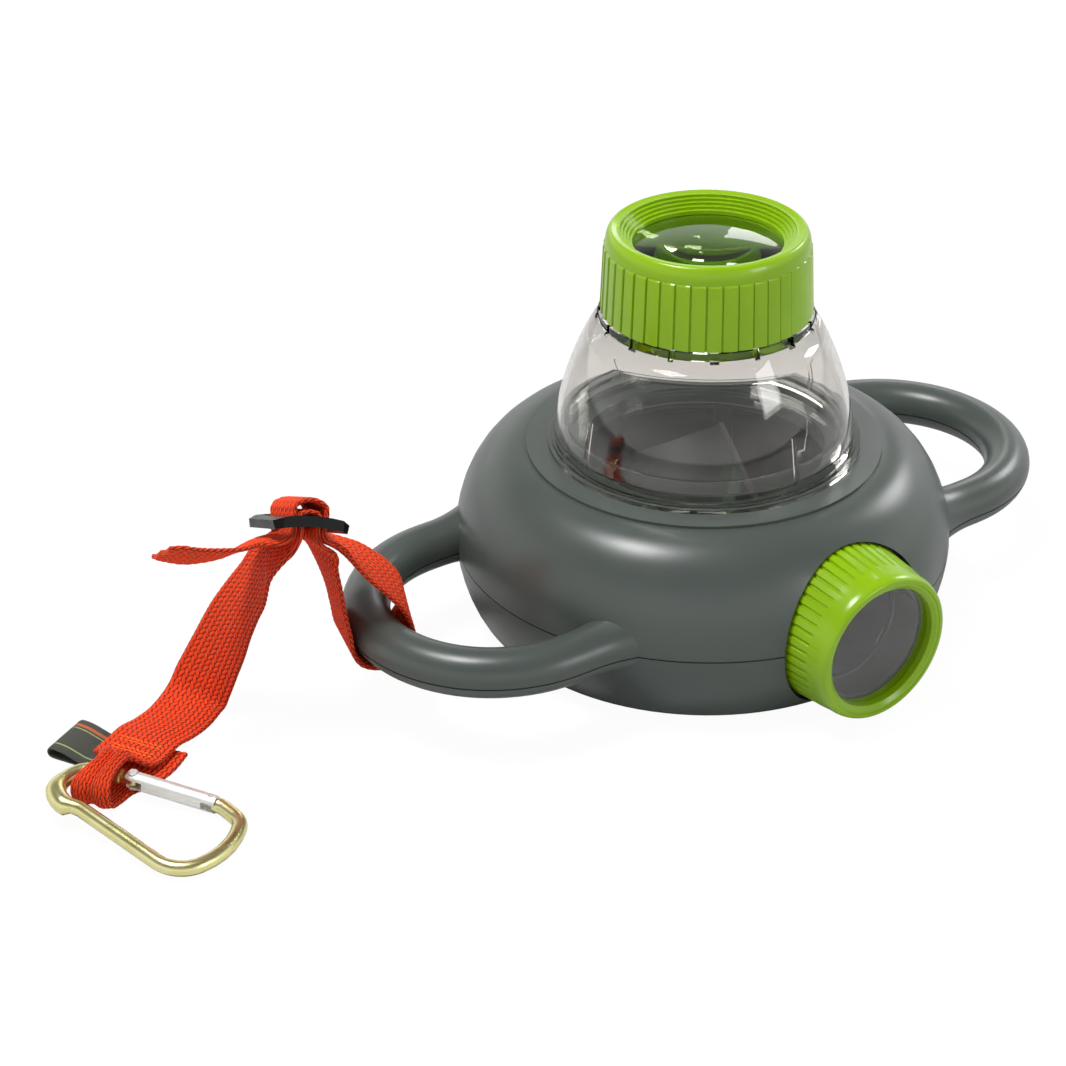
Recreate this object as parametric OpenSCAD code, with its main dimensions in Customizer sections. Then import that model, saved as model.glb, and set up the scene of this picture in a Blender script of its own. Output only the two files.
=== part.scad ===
// Bug catcher jar: round housing with a mirror under a clear chamber, a magnifier
// in the lid, a viewing port at the front, two grips and a carry strap with a snap hook.
// Millimetres. Z is up, the base stands on z = 0, the port looks along -Y.

/* [View] */
// Piece to draw, or all of them

/* [Housing] */
// Outer radius at the parting line
body_r = 91.5; // [89:0.5:95]
// Height of the parting line and of the port's axis
parting_z = 31; // [30:0.5:33]
// Outer radius of the flat deck's edge
shoulder_r = 65.8; // [65:0.2:68]
// Height where the curved top ends
shoulder_z = 68; // [66:0.5:72]
// Step from the curved top up to the deck
deck_step = 1; // [0.6:0.1:1.6]
// Radius of the flat base
base_r = 77.5; // [76:0.5:80]
// Moulded wall
wall_t = 2.5; // [2:0.1:2.8]
// Depth of the recess under the base
foot_recess = 1; // [0.6:0.1:1.4]

/* [Grips] */
// Radius of the grip tube
grip_r = 8.7; // [8:0.1:9.4]
// Half the distance between the arms of a grip
grip_half_w = 45.8; // [44:0.2:48]
// Distance from the middle to the start of the grip's curve
grip_reach = 92.4; // [91:0.2:98]
// Grip's centre line above the parting line
grip_rise = 1.2; // [0:0.1:2]
// Wall of the hollow grips
grip_wall = 2.2; // [1.8:0.1:2.8]

/* [Port] */
// Radius of the pocket round the port
pocket_r = 30.6; // [30.2:0.1:31.4]
// Depth of the pocket round the port
pocket_deep = 13; // [11.5:0.5:14.5]
// Bore of the port ring
port_bore_r = 24.8; // [24.2:0.1:25.4]
// How far the port ring stands out of the housing
port_out = 11.5; // [8.5:0.5:14.5]
// Radius of the clear opening in the port ring
port_open_r = 22.5; // [21.5:0.1:23]
// Flutes round the port ring
port_flutes = 50; // [30:1:60]
// Bore of the viewing tube
sight_bore_r = 21.2; // [20:0.1:21.6]
// Inner end of the viewing tube, from the middle
sight_start_s = 34; // [32:0.5:40]

/* [Mirror] */
// Width of the mirror
mirror_w = 52; // [46:0.5:54]
// Length of the mirror along its slope
mirror_len = 68; // [60:0.5:69]
// Thickness of the mirror
mirror_t = 2; // [1.5:0.1:2.5]

/* [Dish] */
// Gap round the specimen dish
dish_gap = 0.6; // [0.4:0.1:2.2]
// Height of the dish
dish_h = 12; // [9:0.5:15]
// Wall of the dish
dish_wall = 1.5; // [1.2:0.1:2]

/* [Dome] */
// Outer radius of the dome at its foot
dome_r = 54.4; // [54.2:0.1:55]
// Wall of the dome
dome_wall = 2; // [1.6:0.1:2.2]
// Height of the dome from the deck to its collar
dome_h = 50; // [46:0.5:56]
// Outer radius of the neck
neck_r = 34.5; // [34:0.1:35.2]
// Height of the neck above the collar
neck_h = 17.2; // [15.5:0.1:17.2]
// Wall of the neck
neck_wall = 3; // [2.4:0.1:3.4]
// Lugs that lock the lid
lug_count = 3; // [3:1:4]

/* [Lid] */
// Outer radius of the lid at its foot
lid_r = 38.1; // [37.9:0.1:39]
// Height of the lid
lid_h = 30; // [29:0.5:32]
// Flutes round the lid
lid_flutes = 42; // [30:1:48]
// Angle that the lid turns to unlock
lid_turn = 40; // [30:1:50]
// Radius of the magnifying lens
lens_r = 28; // [27.4:0.1:28.6]
// Edge thickness of the lens
lens_edge = 2; // [1.6:0.1:2.4]
// Height of each face of the lens at its middle
lens_crown = 3.2; // [2:0.1:4]

/* [Strap] */
// Width of the webbing
web_w = 25; // [23:0.5:25.6]
// Thickness of the webbing
web_t = 1.8; // [1.5:0.1:1.9]
// Place round the left grip where the strap hangs, in degrees
strap_turn = 165; // [160:1:170]
// Slider's middle, outward from the grip's centre line
slider_out = 23; // [21:0.5:26]
// Slider's middle, above the grip's centre line
slider_up = 46.8; // [44:0.5:50]
// Length of the slider along the strap
slider_len = 27; // [26:0.5:30]
// Width of the slider across the strap
slider_w = 32; // [31:0.5:35]
// Thickness of the slider
slider_t = 4.5; // [3.6:0.1:5]
// Length of the strap's free end
tail_len = 50; // [44:1:56]
// Width of the label
label_w = 19; // [17:0.5:20]
// Length of the label outside the strap
label_len = 16; // [12:0.5:20]
// Thickness of the label
label_t = 0.9; // [0.7:0.1:1]

/* [Snap hook] */
// Place of the gate's rivet
clip_x = -231.8; // [-236:0.5:-228]
// Place of the gate's rivet
clip_y = 11; // [9:0.5:13]
// Radius of the hook's bar
clip_bar_r = 2.65; // [2.4:0.05:2.7]
// Radius of the gate
gate_r = 3.1; // [2.9:0.05:3.2]
// Length of the gate from the rivet to its tip
gate_len = 31; // [29:0.5:33]
// Centre line radius of the small eye
eye_r = 10.5; // [10:0.1:11.5]
// Straight bar beside the rivet, as far as the eye
eye_bar = 10; // [9.5:0.1:11]

/* [Hidden] */
$fn = 64;
curve_n = 10;
over = 1;
fit_gap = 0.3;
run_gap = 0.06;

upper_power = 1.95;
lower_power = 1.73;
seam_h = 0.6;
seam_d = 0.6;
deck_z = shoulder_z + deck_step;
deck_r = shoulder_r - deck_step;
floor_z = foot_recess + wall_t;
recess_in_r = 40;
recess_edge_w = 13.5;
recess_out_r = base_r - recess_edge_w;
far = 2 * (body_r + grip_reach);

spigot_step = 0.5;
spigot_wall = 2.4;
spigot_len = 6;
spigot_r = dome_r - spigot_step;
spigot_in_r = spigot_r - spigot_wall;
channel_out_r = spigot_r + fit_gap;
channel_in_r = spigot_in_r - fit_gap;
channel_z = deck_z - spigot_len - spigot_step;
dish_r = channel_in_r - dish_gap;
ledge_w = 7;
ledge_r = channel_in_r - ledge_w;
ledge_z = deck_z - wall_t;

post_r = 4;
post_in = 21.5;
post_ring_r = body_r - post_in;
screw_r = 1.45;
screw_hole_r = screw_r + run_gap;
screw_head_r = 3.1;
screw_head_h = 2.2;
screw_len = 24;
boss_r = 4.6;
boss_top_z = 14;
head_bore_r = screw_head_r + fit_gap;
head_seat_z = 12;
slot_w = 0.7;
slot_deep = 0.9;

lip_h = 3;
lip_t = 1.8;
lip_gap = 0.6;
lip_out_r = body_r - wall_t - lip_gap;
lip_from = 25;

grip_z = parting_z + grip_rise;
grip_bore_r = grip_r - grip_wall;
flare_h = 3.2;
flare_in = 9.21;
flare_len = 18;
flare_from = sqrt(body_r * body_r - grip_half_w * grip_half_w) - flare_in;
flare_to = flare_from + flare_len;
bore_back = 9.6;
bore_from = grip_reach - bore_back;

pocket_s = body_r - pocket_deep;
port_front_s = body_r + port_out;
block_r = pocket_r + wall_t;
block_back = 8.5;
block_s = pocket_s - block_back;
collar_out_r = port_bore_r - run_gap;
collar_wall = 1.6;
port_seam_turn = 17;
collar_in_r = collar_out_r - collar_wall;
collar_back = 8.2;
collar_end_s = port_front_s - collar_back;
bead_h = 0.5;
bead_w = 0.9;
bead_back = 3.6;
bead_s = collar_end_s - bead_back;
sight_out_r = collar_in_r - run_gap;
sight_end_s = collar_end_s - fit_gap;

ring_base_s = pocket_s + fit_gap;
ring_base_in = 0.8;
ring_base_r = pocket_r - ring_base_in;
ring_mid_in = 1.2;
ring_mid_r = ring_base_r - ring_mid_in;
ring_top_in = 2;
ring_top_r = ring_base_r - ring_top_in;
ring_mid_back = 12;
ring_mid_s = port_front_s - ring_mid_back;
ring_top_back = 5;
ring_top_s = port_front_s - ring_top_back;
ring_round = 3;
port_glass_t = 1.6;
port_seat_back = 4.1;
port_seat_s = port_front_s - port_seat_back;
port_glass_s = port_seat_s - port_glass_t;
keeper_t = 1.9;
flute_w = 1.9;
flute_deep = 0.8;
ring_wall_t = 2.2;

carrier_t = 2.5;
cheek_t = 2;
cheek_gap = 0.25;
cheek_lip = 1;
foot_z = 10;
foot_t = 2;
foot_back_y = 28;
foot_front_y = -16;
foot_rib_y = 24;
mirror_boss_r = 3.4;
mirror_boss_x = 20;
mirror_boss_y = 20;
small_screw_r = 1.1;
small_head_r = 2.2;
small_head_h = 1.6;
small_screw_len = 7;

dish_floor_t = 2;
foot_ring_out = 2.6;
foot_ring_r = dome_r + foot_ring_out;
foot_ring_t = 1.5;
foot_step_out = 1.1;
foot_step_r = dome_r + foot_step_out;
foot_step_up = 3;
foot_step_z = deck_z + foot_step_up;
dome_low_up = 5.75;
dome_low_z = deck_z + dome_low_up;
dome_power = 1.46;
dome_top_in = 25.5;
dome_top_r = dome_r - dome_top_in;
dome_top_up = 10;
dome_top_z = deck_z + dome_h + dome_top_up;
collar_z = deck_z + dome_h;
collar_t = 2.6;
collar_out = 3.9;
collar_r = neck_r + collar_out;
notch_count = 16;
notch_deep = 1.4;
notch_w = 3.2;
neck_bore_r = neck_r - neck_wall;
neck_top_z = collar_z + collar_t + neck_h;
fin_t = 1;
fin_h = 18;
fin_clear = 1;
fin_in_r = dish_r + fin_clear;
lug_out = 1.1;
lug_h = 3;
lug_rise = 6.4;
lug_angle = 14;
lug_z = collar_z + collar_t + lug_rise;

lid_z = collar_z + collar_t + fit_gap;
lid_top_z = lid_z + lid_h;
lid_bore_gap = 0.36;
lid_bore_r = neck_r + lid_bore_gap;
lid_lock_r = neck_r + lug_out + fit_gap;
lid_lock_low_z = lug_z - fit_gap;
lid_lock_top_z = lug_z + lug_h + fit_gap;
lid_side_in = 1.6;
lid_side_r = lid_r - lid_side_in;
lid_rim_in = 4.4;
lid_rim_r = lid_r - lid_rim_in;
lid_side_down = 7;
lid_side_z = lid_top_z - lid_side_down;
lid_seat_r = lens_r + run_gap;
keeper_seat_out = 5.2;
keeper_seat_r = lens_r + keeper_seat_out;
lens_down = 7;
lens_top_z = lid_top_z - lens_down;
lens_low_z = lens_top_z - lens_edge;
keeper_h = 2.4;
keeper_low_z = lens_low_z - keeper_h;
lid_open_in = 1.5;
lid_open_r = lens_r - lid_open_in;
step_count = 5;
step_in = 1.1;
lid_flute_h = 19;
lid_flute_deep = 0.6;
lid_flute_shallow = 0.15;
lid_slope = atan((lid_r - lid_side_r) / (lid_side_z - lid_z));

slot_t = 8;
slider_bar_t = 4;
slider_arch = 1.6;
slider_edge = 1.6;
slider_corner = 3;
slider_lean = -16;
slider_roll = 26.8;
web_gap = 0.4;
web_slack = 1.9;
grip_wrap_r = grip_r + web_t / 2 + fit_gap;
web_rest = 0.05;
web_low_z = web_t / 2 + web_rest;
web_sub = 3;

clip_yaw = -54.7;
clip_rise = 1.5;
clip_z = web_rest + web_t + fit_gap + gate_r + clip_rise;
clip_span = 44;
clip_tilt = asin((clip_z - clip_bar_r) / clip_span);
neck_turn_r = 8;
spine_turn = 20.5;
corner_r = 11;
corner_turn = 79.5;
side_r = 28;
side_turn = 46;
shoulder_turn_r = 8;
shoulder_turn = 50;
nose_r = 6;
nose_turn = 25;
heel_out = 1.9;
tongue_t = 2.4;
tongue_back = 4.6;
tongue_half_h = 1.95;
fork_len = 4.4;
rivet_r = 1.1;
rivet_head_r = 1.8;
rivet_head_t = 0.5;
hook_len = 3.6;
hook_t = 2.2;
hook_half_h = 2.1;
catch_r = 0.9;
catch_gap = 0.3;
catch_back = 2.1;
catch_x = gate_len - catch_back;
slot_back = 4.6;
slot_x = gate_len - slot_back;
spring_bore_r = 1.6;
spring_coil_r = 1.1;
spring_wire_r = 0.25;
spring_turns = 7;
spring_len = 12;
plunger_len = 3;
plunger_nose_r = 1.1;
fold_room = 2.3;

// Curved outline of the top, from the parting line up to the deck, moved in by off
function upper_pt(a, off) = [
    shoulder_r - off + (body_r - shoulder_r) * pow(cos(a), 2 / upper_power),
    parting_z + (shoulder_z - off - parting_z) * pow(sin(a), 2 / upper_power)];

// Curved outline of the underside, moved in by off and ending at height low
function lower_pt(a, off, low) = [
    base_r - off + (body_r - base_r) * pow(cos(a), 2 / lower_power),
    parting_z - (parting_z - low) * pow(sin(a), 2 / lower_power)];

// Radius of the underside's outline at the shadow line
low_1 = lower_pt(90 / curve_n, 0, 0);
seam_r = body_r - (body_r - low_1[0]) * seam_h / (parting_z - low_1[1]);

// Outline of the dome, moved in by off
function dome_pt(a, off) = [
    dome_top_r - off + (dome_r - dome_top_r) * pow(cos(a), 2 / dome_power),
    dome_low_z + (dome_top_z - off - dome_low_z) * pow(sin(a), 2 / dome_power)];

function quarter(n) = [for (i = [0 : n]) 90 * i / n];

module above(z) translate([-far, -far, z]) cube([2 * far, 2 * far, far]);
module below(z) translate([-far, -far, z - far]) cube([2 * far, 2 * far, far]);

module tube(ro, ri, z0, z1) {
    translate([0, 0, z0]) difference() {
        cylinder(r = ro, h = z1 - z0);
        translate([0, 0, -over]) cylinder(r = ri, h = z1 - z0 + 2 * over);
    }
}

// Child's Z becomes the way out of the port; the turn keeps seams off the parting line
module to_port() translate([0, 0, parting_z]) rotate([90, 0, 0]) rotate([0, 0, port_seam_turn]) children();

// Solid that ends in the middle of the housing's wall
module skin() rotate_extrude() polygon(concat(
    [[0, wall_t / 2]],
    [for (a = [for (i = [curve_n : -1 : 0]) 90 * i / curve_n]) lower_pt(a, wall_t / 2, wall_t / 2)],
    [for (a = quarter(curve_n)) upper_pt(a, wall_t / 2)],
    [[0, shoulder_z - wall_t / 2]]));

// Space inside the housing's wall
module core() rotate_extrude() polygon(concat(
    [[0, floor_z]],
    [for (a = [for (i = [curve_n : -1 : 0]) 90 * i / curve_n]) lower_pt(a, wall_t, floor_z)],
    [for (a = quarter(curve_n)) upper_pt(a, wall_t)],
    [[0, shoulder_z - wall_t]]));

// Both grips as round tubes of radius r, from from_x outward
module grip_tubes(r, from_x) {
    for (s = [0, 1]) mirror([s, 0, 0]) translate([0, 0, grip_z]) {
        for (side = [-1, 1])
            translate([from_x, side * grip_half_w, 0])
                rotate([0, 90, 0]) cylinder(r = r, h = grip_reach - from_x);
        translate([grip_reach, 0, 0]) rotate([0, 0, -90])
            rotate_extrude(angle = 180) translate([grip_half_w, 0]) circle(r = r);
    }
}

// Swelling where a grip runs into the housing
module grip_flares(r) {
    for (s = [0, 1]) mirror([s, 0, 0])
        for (side = [-1, 1])
            translate([0, side * grip_half_w, grip_z]) rotate([0, 90, 0])
                rotate_extrude() polygon(concat(
                    [[0, flare_from]],
                    [for (i = [0 : 6])
                        [r + flare_h * pow(1 - i / 6, 2),
                         flare_from + (flare_to - flare_from) * i / 6]],
                    [[0, flare_to]]));
}

module grip_skin(r) {
    difference() {
        union() {
            grip_tubes(r, flare_from);
            grip_flares(r);
        }
        core();
    }
}

module port_block() {
    intersection() {
        skin();
        to_port() translate([0, 0, block_s]) cylinder(r = block_r, h = body_r);
    }
}

module port_pocket() to_port() translate([0, 0, pocket_s]) cylinder(r = pocket_r, h = body_r);

module port_bore() to_port() translate([0, 0, block_s - over]) cylinder(r = collar_in_r, h = body_r);

module port_collar() {
    to_port() {
        translate([0, 0, pocket_s - over])
            cylinder(r = collar_out_r, h = collar_end_s - pocket_s + over);
        translate([0, 0, bead_s]) rotate_extrude() polygon([
            [collar_out_r - collar_wall / 2, 0], [collar_out_r, 0],
            [collar_out_r + bead_h, bead_w / 3], [collar_out_r + bead_h, bead_w * 2 / 3],
            [collar_out_r, bead_w], [collar_out_r - collar_wall / 2, bead_w]]);
    }
}

module post_places() {
    for (a = [45, 135, 225, 315]) rotate([0, 0, a]) translate([post_ring_r, 0, 0]) children();
}

module upper_wall() rotate_extrude() polygon(concat(
    [for (a = quarter(curve_n)) upper_pt(a, 0)],
    [[deck_r, shoulder_z], [deck_r, deck_z], [channel_out_r, deck_z],
     [channel_out_r, channel_z], [channel_in_r, channel_z],
     [channel_in_r, ledge_z], [ledge_r, ledge_z],
     [ledge_r, channel_z - wall_t],
     [channel_out_r + wall_t, channel_z - wall_t],
     [channel_out_r + wall_t, shoulder_z - wall_t]],
    [for (i = [curve_n : -1 : 0]) upper_pt(90 * i / curve_n, wall_t)]));

module upper_body() {
    upper_wall();
    intersection() {
        union() {
            grip_skin(grip_r);
            port_block();
        }
        above(parting_z);
    }
    intersection() {
        post_places() translate([0, 0, boss_top_z])
            cylinder(r = post_r, h = shoulder_z - wall_t - boss_top_z);
        skin();
    }
}

module upper_housing() {
    color("#5d6465") difference() {
        union() {
            difference() {
                upper_body();
                grip_tubes(grip_bore_r, bore_from);
                port_pocket();
                post_places() translate([0, 0, boss_top_z - over])
                    cylinder(r = screw_hole_r, h = screw_len - (boss_top_z - head_seat_z) + 2 * over);
            }
            intersection() {
                port_collar();
                above(parting_z);
            }
        }
        port_bore();
    }
}

module lower_wall() rotate_extrude() polygon(concat(
    [[0, 0]],
    [for (i = [curve_n : -1 : 1]) lower_pt(90 * i / curve_n, 0, 0)],
    [[seam_r, parting_z - seam_h], [seam_r - seam_d, parting_z - seam_h],
     [seam_r - seam_d, parting_z], [body_r - wall_t, parting_z],
     lower_pt(90 / curve_n, wall_t, floor_z)],
    [for (i = [2 : curve_n]) lower_pt(90 * i / curve_n, wall_t, floor_z)],
    [[0, floor_z]]));

// Lip that centres the upper housing, open at the port
module lip() rotate([0, 0, lip_from - 90]) rotate_extrude(angle = 360 - 2 * lip_from) polygon([
    [lip_out_r - lip_t, parting_z - lip_h], [body_r - wall_t / 2, parting_z - lip_h],
    [body_r - wall_t / 2, parting_z - seam_h / 2], [lip_out_r, parting_z - seam_h / 2],
    [lip_out_r, parting_z + lip_h], [lip_out_r - lip_t, parting_z + lip_h]]);

module lower_body() {
    lower_wall();
    intersection() {
        grip_skin(grip_r);
        below(parting_z - seam_h);
    }
    intersection() {
        grip_skin(grip_r - seam_d);
        translate([-far, -far, parting_z - seam_h - over]) cube([2 * far, 2 * far, seam_h + over]);
    }
    intersection() {
        port_block();
        below(parting_z);
    }
    lip();
    post_places() translate([0, 0, foot_recess]) cylinder(r = boss_r, h = boss_top_z - foot_recess);
    for (x = [-mirror_boss_x, mirror_boss_x])
        translate([x, mirror_boss_y, floor_z - over])
            cylinder(r = mirror_boss_r, h = foot_z - floor_z + over);
}

module lower_housing() {
    color("#565d5e") difference() {
        union() {
            difference() {
                lower_body();
                grip_tubes(grip_bore_r, bore_from);
                port_pocket();
                translate([0, 0, -over]) difference() {
                    cylinder(r = recess_out_r, h = foot_recess + over);
                    translate([0, 0, -over]) cylinder(r = recess_in_r, h = foot_recess + 3 * over);
                }
                post_places() {
                    translate([0, 0, -over]) cylinder(r = screw_hole_r + fit_gap, h = boss_top_z + 2 * over);
                    translate([0, 0, -over]) cylinder(r = head_bore_r, h = head_seat_z + over);
                }
                for (x = [-mirror_boss_x, mirror_boss_x])
                    translate([x, mirror_boss_y, floor_z + over])
                        cylinder(r = small_screw_r + run_gap, h = foot_z);
            }
            intersection() {
                port_collar();
                below(parting_z);
            }
        }
        port_bore();
    }
}

// Pan head screw, head down at z = 0, shank up
module pan_screw(r, head_r, head_h, len) {
    difference() {
        union() {
            translate([0, 0, -head_h]) cylinder(r1 = head_r * 0.85, r2 = head_r, h = head_h);
            cylinder(r = r, h = len - r);
            translate([0, 0, len - r]) cylinder(r1 = r, r2 = r / 2, h = r);
        }
        for (a = [0, 90]) rotate([0, 0, a])
            translate([-head_r * 0.6, -slot_w / 2, -head_h - over])
                cube([head_r * 1.2, slot_w, slot_deep + over]);
    }
}

module housing_screws() {
    color("#b9bcbd") post_places() translate([0, 0, head_seat_z])
        pan_screw(screw_r, screw_head_r, screw_head_h, screw_len - fit_gap);
}

// Child lies with its face on the mirror's plane, Y up the slope
module on_mirror() translate([0, 0, parting_z]) rotate([45, 0, 0]) children();

module mirror_carrier() {
    half_w = mirror_w / 2;
    half_l = mirror_len / 2;
    cheek_h = mirror_t + carrier_t + cheek_lip;
    color("#2c3031") difference() {
        union() {
            intersection() {
                on_mirror() {
                    translate([-half_w - cheek_gap, -half_l - cheek_gap, -mirror_t - carrier_t])
                        cube([mirror_w + 2 * cheek_gap, mirror_len + 2 * cheek_gap, carrier_t]);
                    for (s = [0, 1]) mirror([s, 0, 0])
                        translate([half_w + cheek_gap, -half_l - cheek_gap, -mirror_t - carrier_t])
                            cube([cheek_t, mirror_len + 2 * cheek_gap, cheek_h]);
                }
                above(floor_z);
            }
            translate([-half_w - cheek_gap, foot_front_y, foot_z])
                cube([mirror_w + 2 * cheek_gap, foot_back_y - foot_front_y, foot_t]);
            for (x = [-half_w - cheek_gap, half_w + cheek_gap - cheek_t])
                translate([x + cheek_t, 0, 0]) rotate([0, -90, 0])
                    linear_extrude(cheek_t) polygon([
                        [foot_z, foot_front_y], [foot_z, foot_back_y],
                        [parting_z + foot_rib_y - mirror_t * sqrt(2) - carrier_t * 0.8, foot_back_y],
                        [parting_z + foot_rib_y - mirror_t * sqrt(2) - carrier_t * 0.8, foot_rib_y],
                        [parting_z + foot_front_y - mirror_t * sqrt(2) - carrier_t * 0.8,
                         foot_front_y]]);
        }
        for (x = [-mirror_boss_x, mirror_boss_x])
            translate([x, mirror_boss_y, foot_z - over])
                cylinder(r = small_screw_r + fit_gap, h = foot_t + 2 * over);
    }
}

module mirror_screws() {
    color("#b9bcbd") for (x = [-mirror_boss_x, mirror_boss_x])
        translate([x, mirror_boss_y, foot_z + foot_t]) rotate([180, 0, 0])
            pan_screw(small_screw_r, small_head_r, small_head_h, small_screw_len);
}

module mirror_glass() {
    color("#cfd8dc") on_mirror()
        translate([-mirror_w / 2, -mirror_len / 2, -mirror_t])
            cube([mirror_w, mirror_len, mirror_t]);
}

module viewing_tube() {
    color("#1d2021") to_port() tube(sight_out_r, sight_bore_r, sight_start_s, sight_end_s);
}

module specimen_dish() {
    color("#e6eef0") translate([0, 0, ledge_z]) rotate_extrude() polygon([
        [0, 0], [dish_r - dish_wall / 2, 0], [dish_r, dish_wall / 2], [dish_r, dish_h],
        [dish_r - dish_wall, dish_h], [dish_r - dish_wall, dish_floor_t], [0, dish_floor_t]]);
}

module dome() {
    inner_top = collar_z - dome_wall;
    color("#dfe8ea") {
        difference() {
            rotate_extrude() polygon(concat(
                [[spigot_in_r, deck_z - spigot_len], [spigot_r, deck_z - spigot_len],
                 [spigot_r, deck_z + fit_gap], [foot_ring_r, deck_z + fit_gap],
                 [foot_ring_r, deck_z + fit_gap + foot_ring_t],
                 [foot_step_r, deck_z + fit_gap + foot_ring_t], [foot_step_r, foot_step_z],
                 [dome_r, foot_step_z]],
                [for (a = quarter(curve_n + 4)) if (dome_pt(a, 0)[1] < collar_z - over) dome_pt(a, 0)],
                [[dome_at(collar_z), collar_z], [collar_r, collar_z],
                 [collar_r, collar_z + collar_t], [neck_r, collar_z + collar_t],
                 [neck_r, neck_top_z], [neck_bore_r, neck_top_z],
                 [neck_bore_r, collar_z + dome_wall / 4]],
                [for (i = [curve_n + 4 : -1 : 0])
                    if (dome_pt(90 * i / (curve_n + 4), dome_wall)[1] < inner_top - over)
                        dome_pt(90 * i / (curve_n + 4), dome_wall)],
                [[spigot_in_r, dome_low_z - over]]));
            for (i = [0 : notch_count - 1])
                rotate([0, 0, 360 * (i + 0.5) / notch_count])
                    translate([collar_r - notch_deep, -notch_w * (i % 2 == 0 ? 0.5 : 0.3), collar_z - over])
                        cube([notch_deep + over, notch_w * (i % 2 == 0 ? 1 : 0.6), collar_t + 2 * over]);
        }
        for (a = [0 : 90 : 270]) rotate([90, 0, a])
            translate([0, 0, -fin_t / 2]) linear_extrude(fin_t) polygon([
                [fin_in_r, foot_step_z], [spigot_r - spigot_wall / 4, foot_step_z],
                [dome_at(foot_step_z + fin_h) - dome_wall / 2, foot_step_z + fin_h],
                [dome_at(foot_step_z + fin_h) - dome_wall * 1.4, foot_step_z + fin_h]]);
        for (i = [0 : lug_count - 1]) rotate([0, 0, 90 + 360 * i / lug_count - lug_angle / 2])
            translate([0, 0, lug_z]) rotate_extrude(angle = lug_angle)
                translate([neck_r - neck_wall / 2, 0]) square([neck_wall / 2 + lug_out, lug_h]);
    }
}

// Outer radius of the dome at height z
function dome_at(z) = let (
    s = pow((z - dome_low_z) / (dome_top_z - dome_low_z), dome_power / 2))
    dome_top_r + (dome_r - dome_top_r) * pow(cos(asin(s)), 2 / dome_power);

module lens_lid() {
    color("#8fc31f") difference() {
        rotate_extrude() polygon(concat(
            [[lid_r, lid_z], [lid_side_r, lid_side_z]],
            [for (a = quarter(5))
                [lid_side_r - (lid_side_r - lid_rim_r) * (1 - cos(a)),
                 lid_side_z + (lid_top_z - lid_side_z) * sin(a)]],
            [for (i = [0 : step_count - 1]) each [
                [lid_open_r + step_in * (step_count - i), lid_top_z - step_in * i - step_in / 2],
                [lid_open_r + step_in * (step_count - i - 1), lid_top_z - step_in * i - step_in / 2]]],
            [[lid_open_r, lens_top_z + lens_face(lid_open_r) + run_gap],
             [lid_seat_r, lens_top_z], [lid_seat_r, lens_low_z],
             [keeper_seat_r, lens_low_z], [keeper_seat_r, keeper_low_z],
             [lid_bore_r, keeper_low_z - (lid_bore_r - keeper_seat_r)],
             [lid_bore_r, lid_lock_top_z], [lid_lock_r, lid_lock_top_z],
             [lid_lock_r, lid_lock_low_z], [lid_bore_r, lid_lock_low_z], [lid_bore_r, lid_z]]));
        for (i = [0 : lug_count - 1])
            rotate([0, 0, 90 + 360 * i / lug_count - lid_turn - lug_angle * 0.65])
                translate([0, 0, lid_z - over]) rotate_extrude(angle = lug_angle * 1.3)
                    translate([neck_r - over, 0])
                        square([lid_lock_r - run_gap - neck_r + over, lid_lock_low_z - lid_z + 2 * over]);
        for (i = [0 : lid_flutes - 1]) rotate([0, 0, 360 * (i + 0.4) / lid_flutes])
            translate([lid_r, 0, lid_z]) rotate([0, -lid_slope, 0])
                translate([0, 0, -over]) linear_extrude(lid_flute_h + over) polygon([
                    [-lid_flute_deep, 0], [over, 0],
                    [over, lid_r * sin(340 / lid_flutes)],
                    [-lid_r * (1 - cos(340 / lid_flutes)) - lid_flute_shallow,
                     lid_r * sin(340 / lid_flutes)]]);
    }
}

// Face of the lens: height over its edge at radius r
lens_ball_r = (lens_r * lens_r + lens_crown * lens_crown) / (2 * lens_crown);
function lens_face(r) = sqrt(lens_ball_r * lens_ball_r - r * r) - lens_ball_r + lens_crown;

module top_lens() {
    color("#e9f2f4") translate([0, 0, lens_low_z]) rotate_extrude() polygon(concat(
        [[0, -lens_face(lens_r / 6)]],
        [for (i = [1 : 6]) [lens_r * i / 6, -lens_face(lens_r * i / 6)]],
        [for (i = [6 : -1 : 1]) [lens_r * i / 6, lens_edge + lens_face(lens_r * i / 6)]],
        [[0, lens_edge + lens_face(lens_r / 6)]]));
}

module lens_keeper() {
    color("#7fae1b") rotate_extrude() polygon([
        [lid_open_r, keeper_low_z], [keeper_seat_r - run_gap, keeper_low_z],
        [keeper_seat_r - run_gap, lens_low_z], [lens_r, lens_low_z],
        [lid_open_r, lens_low_z - lens_face(lid_open_r) - run_gap]]);
}

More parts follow.
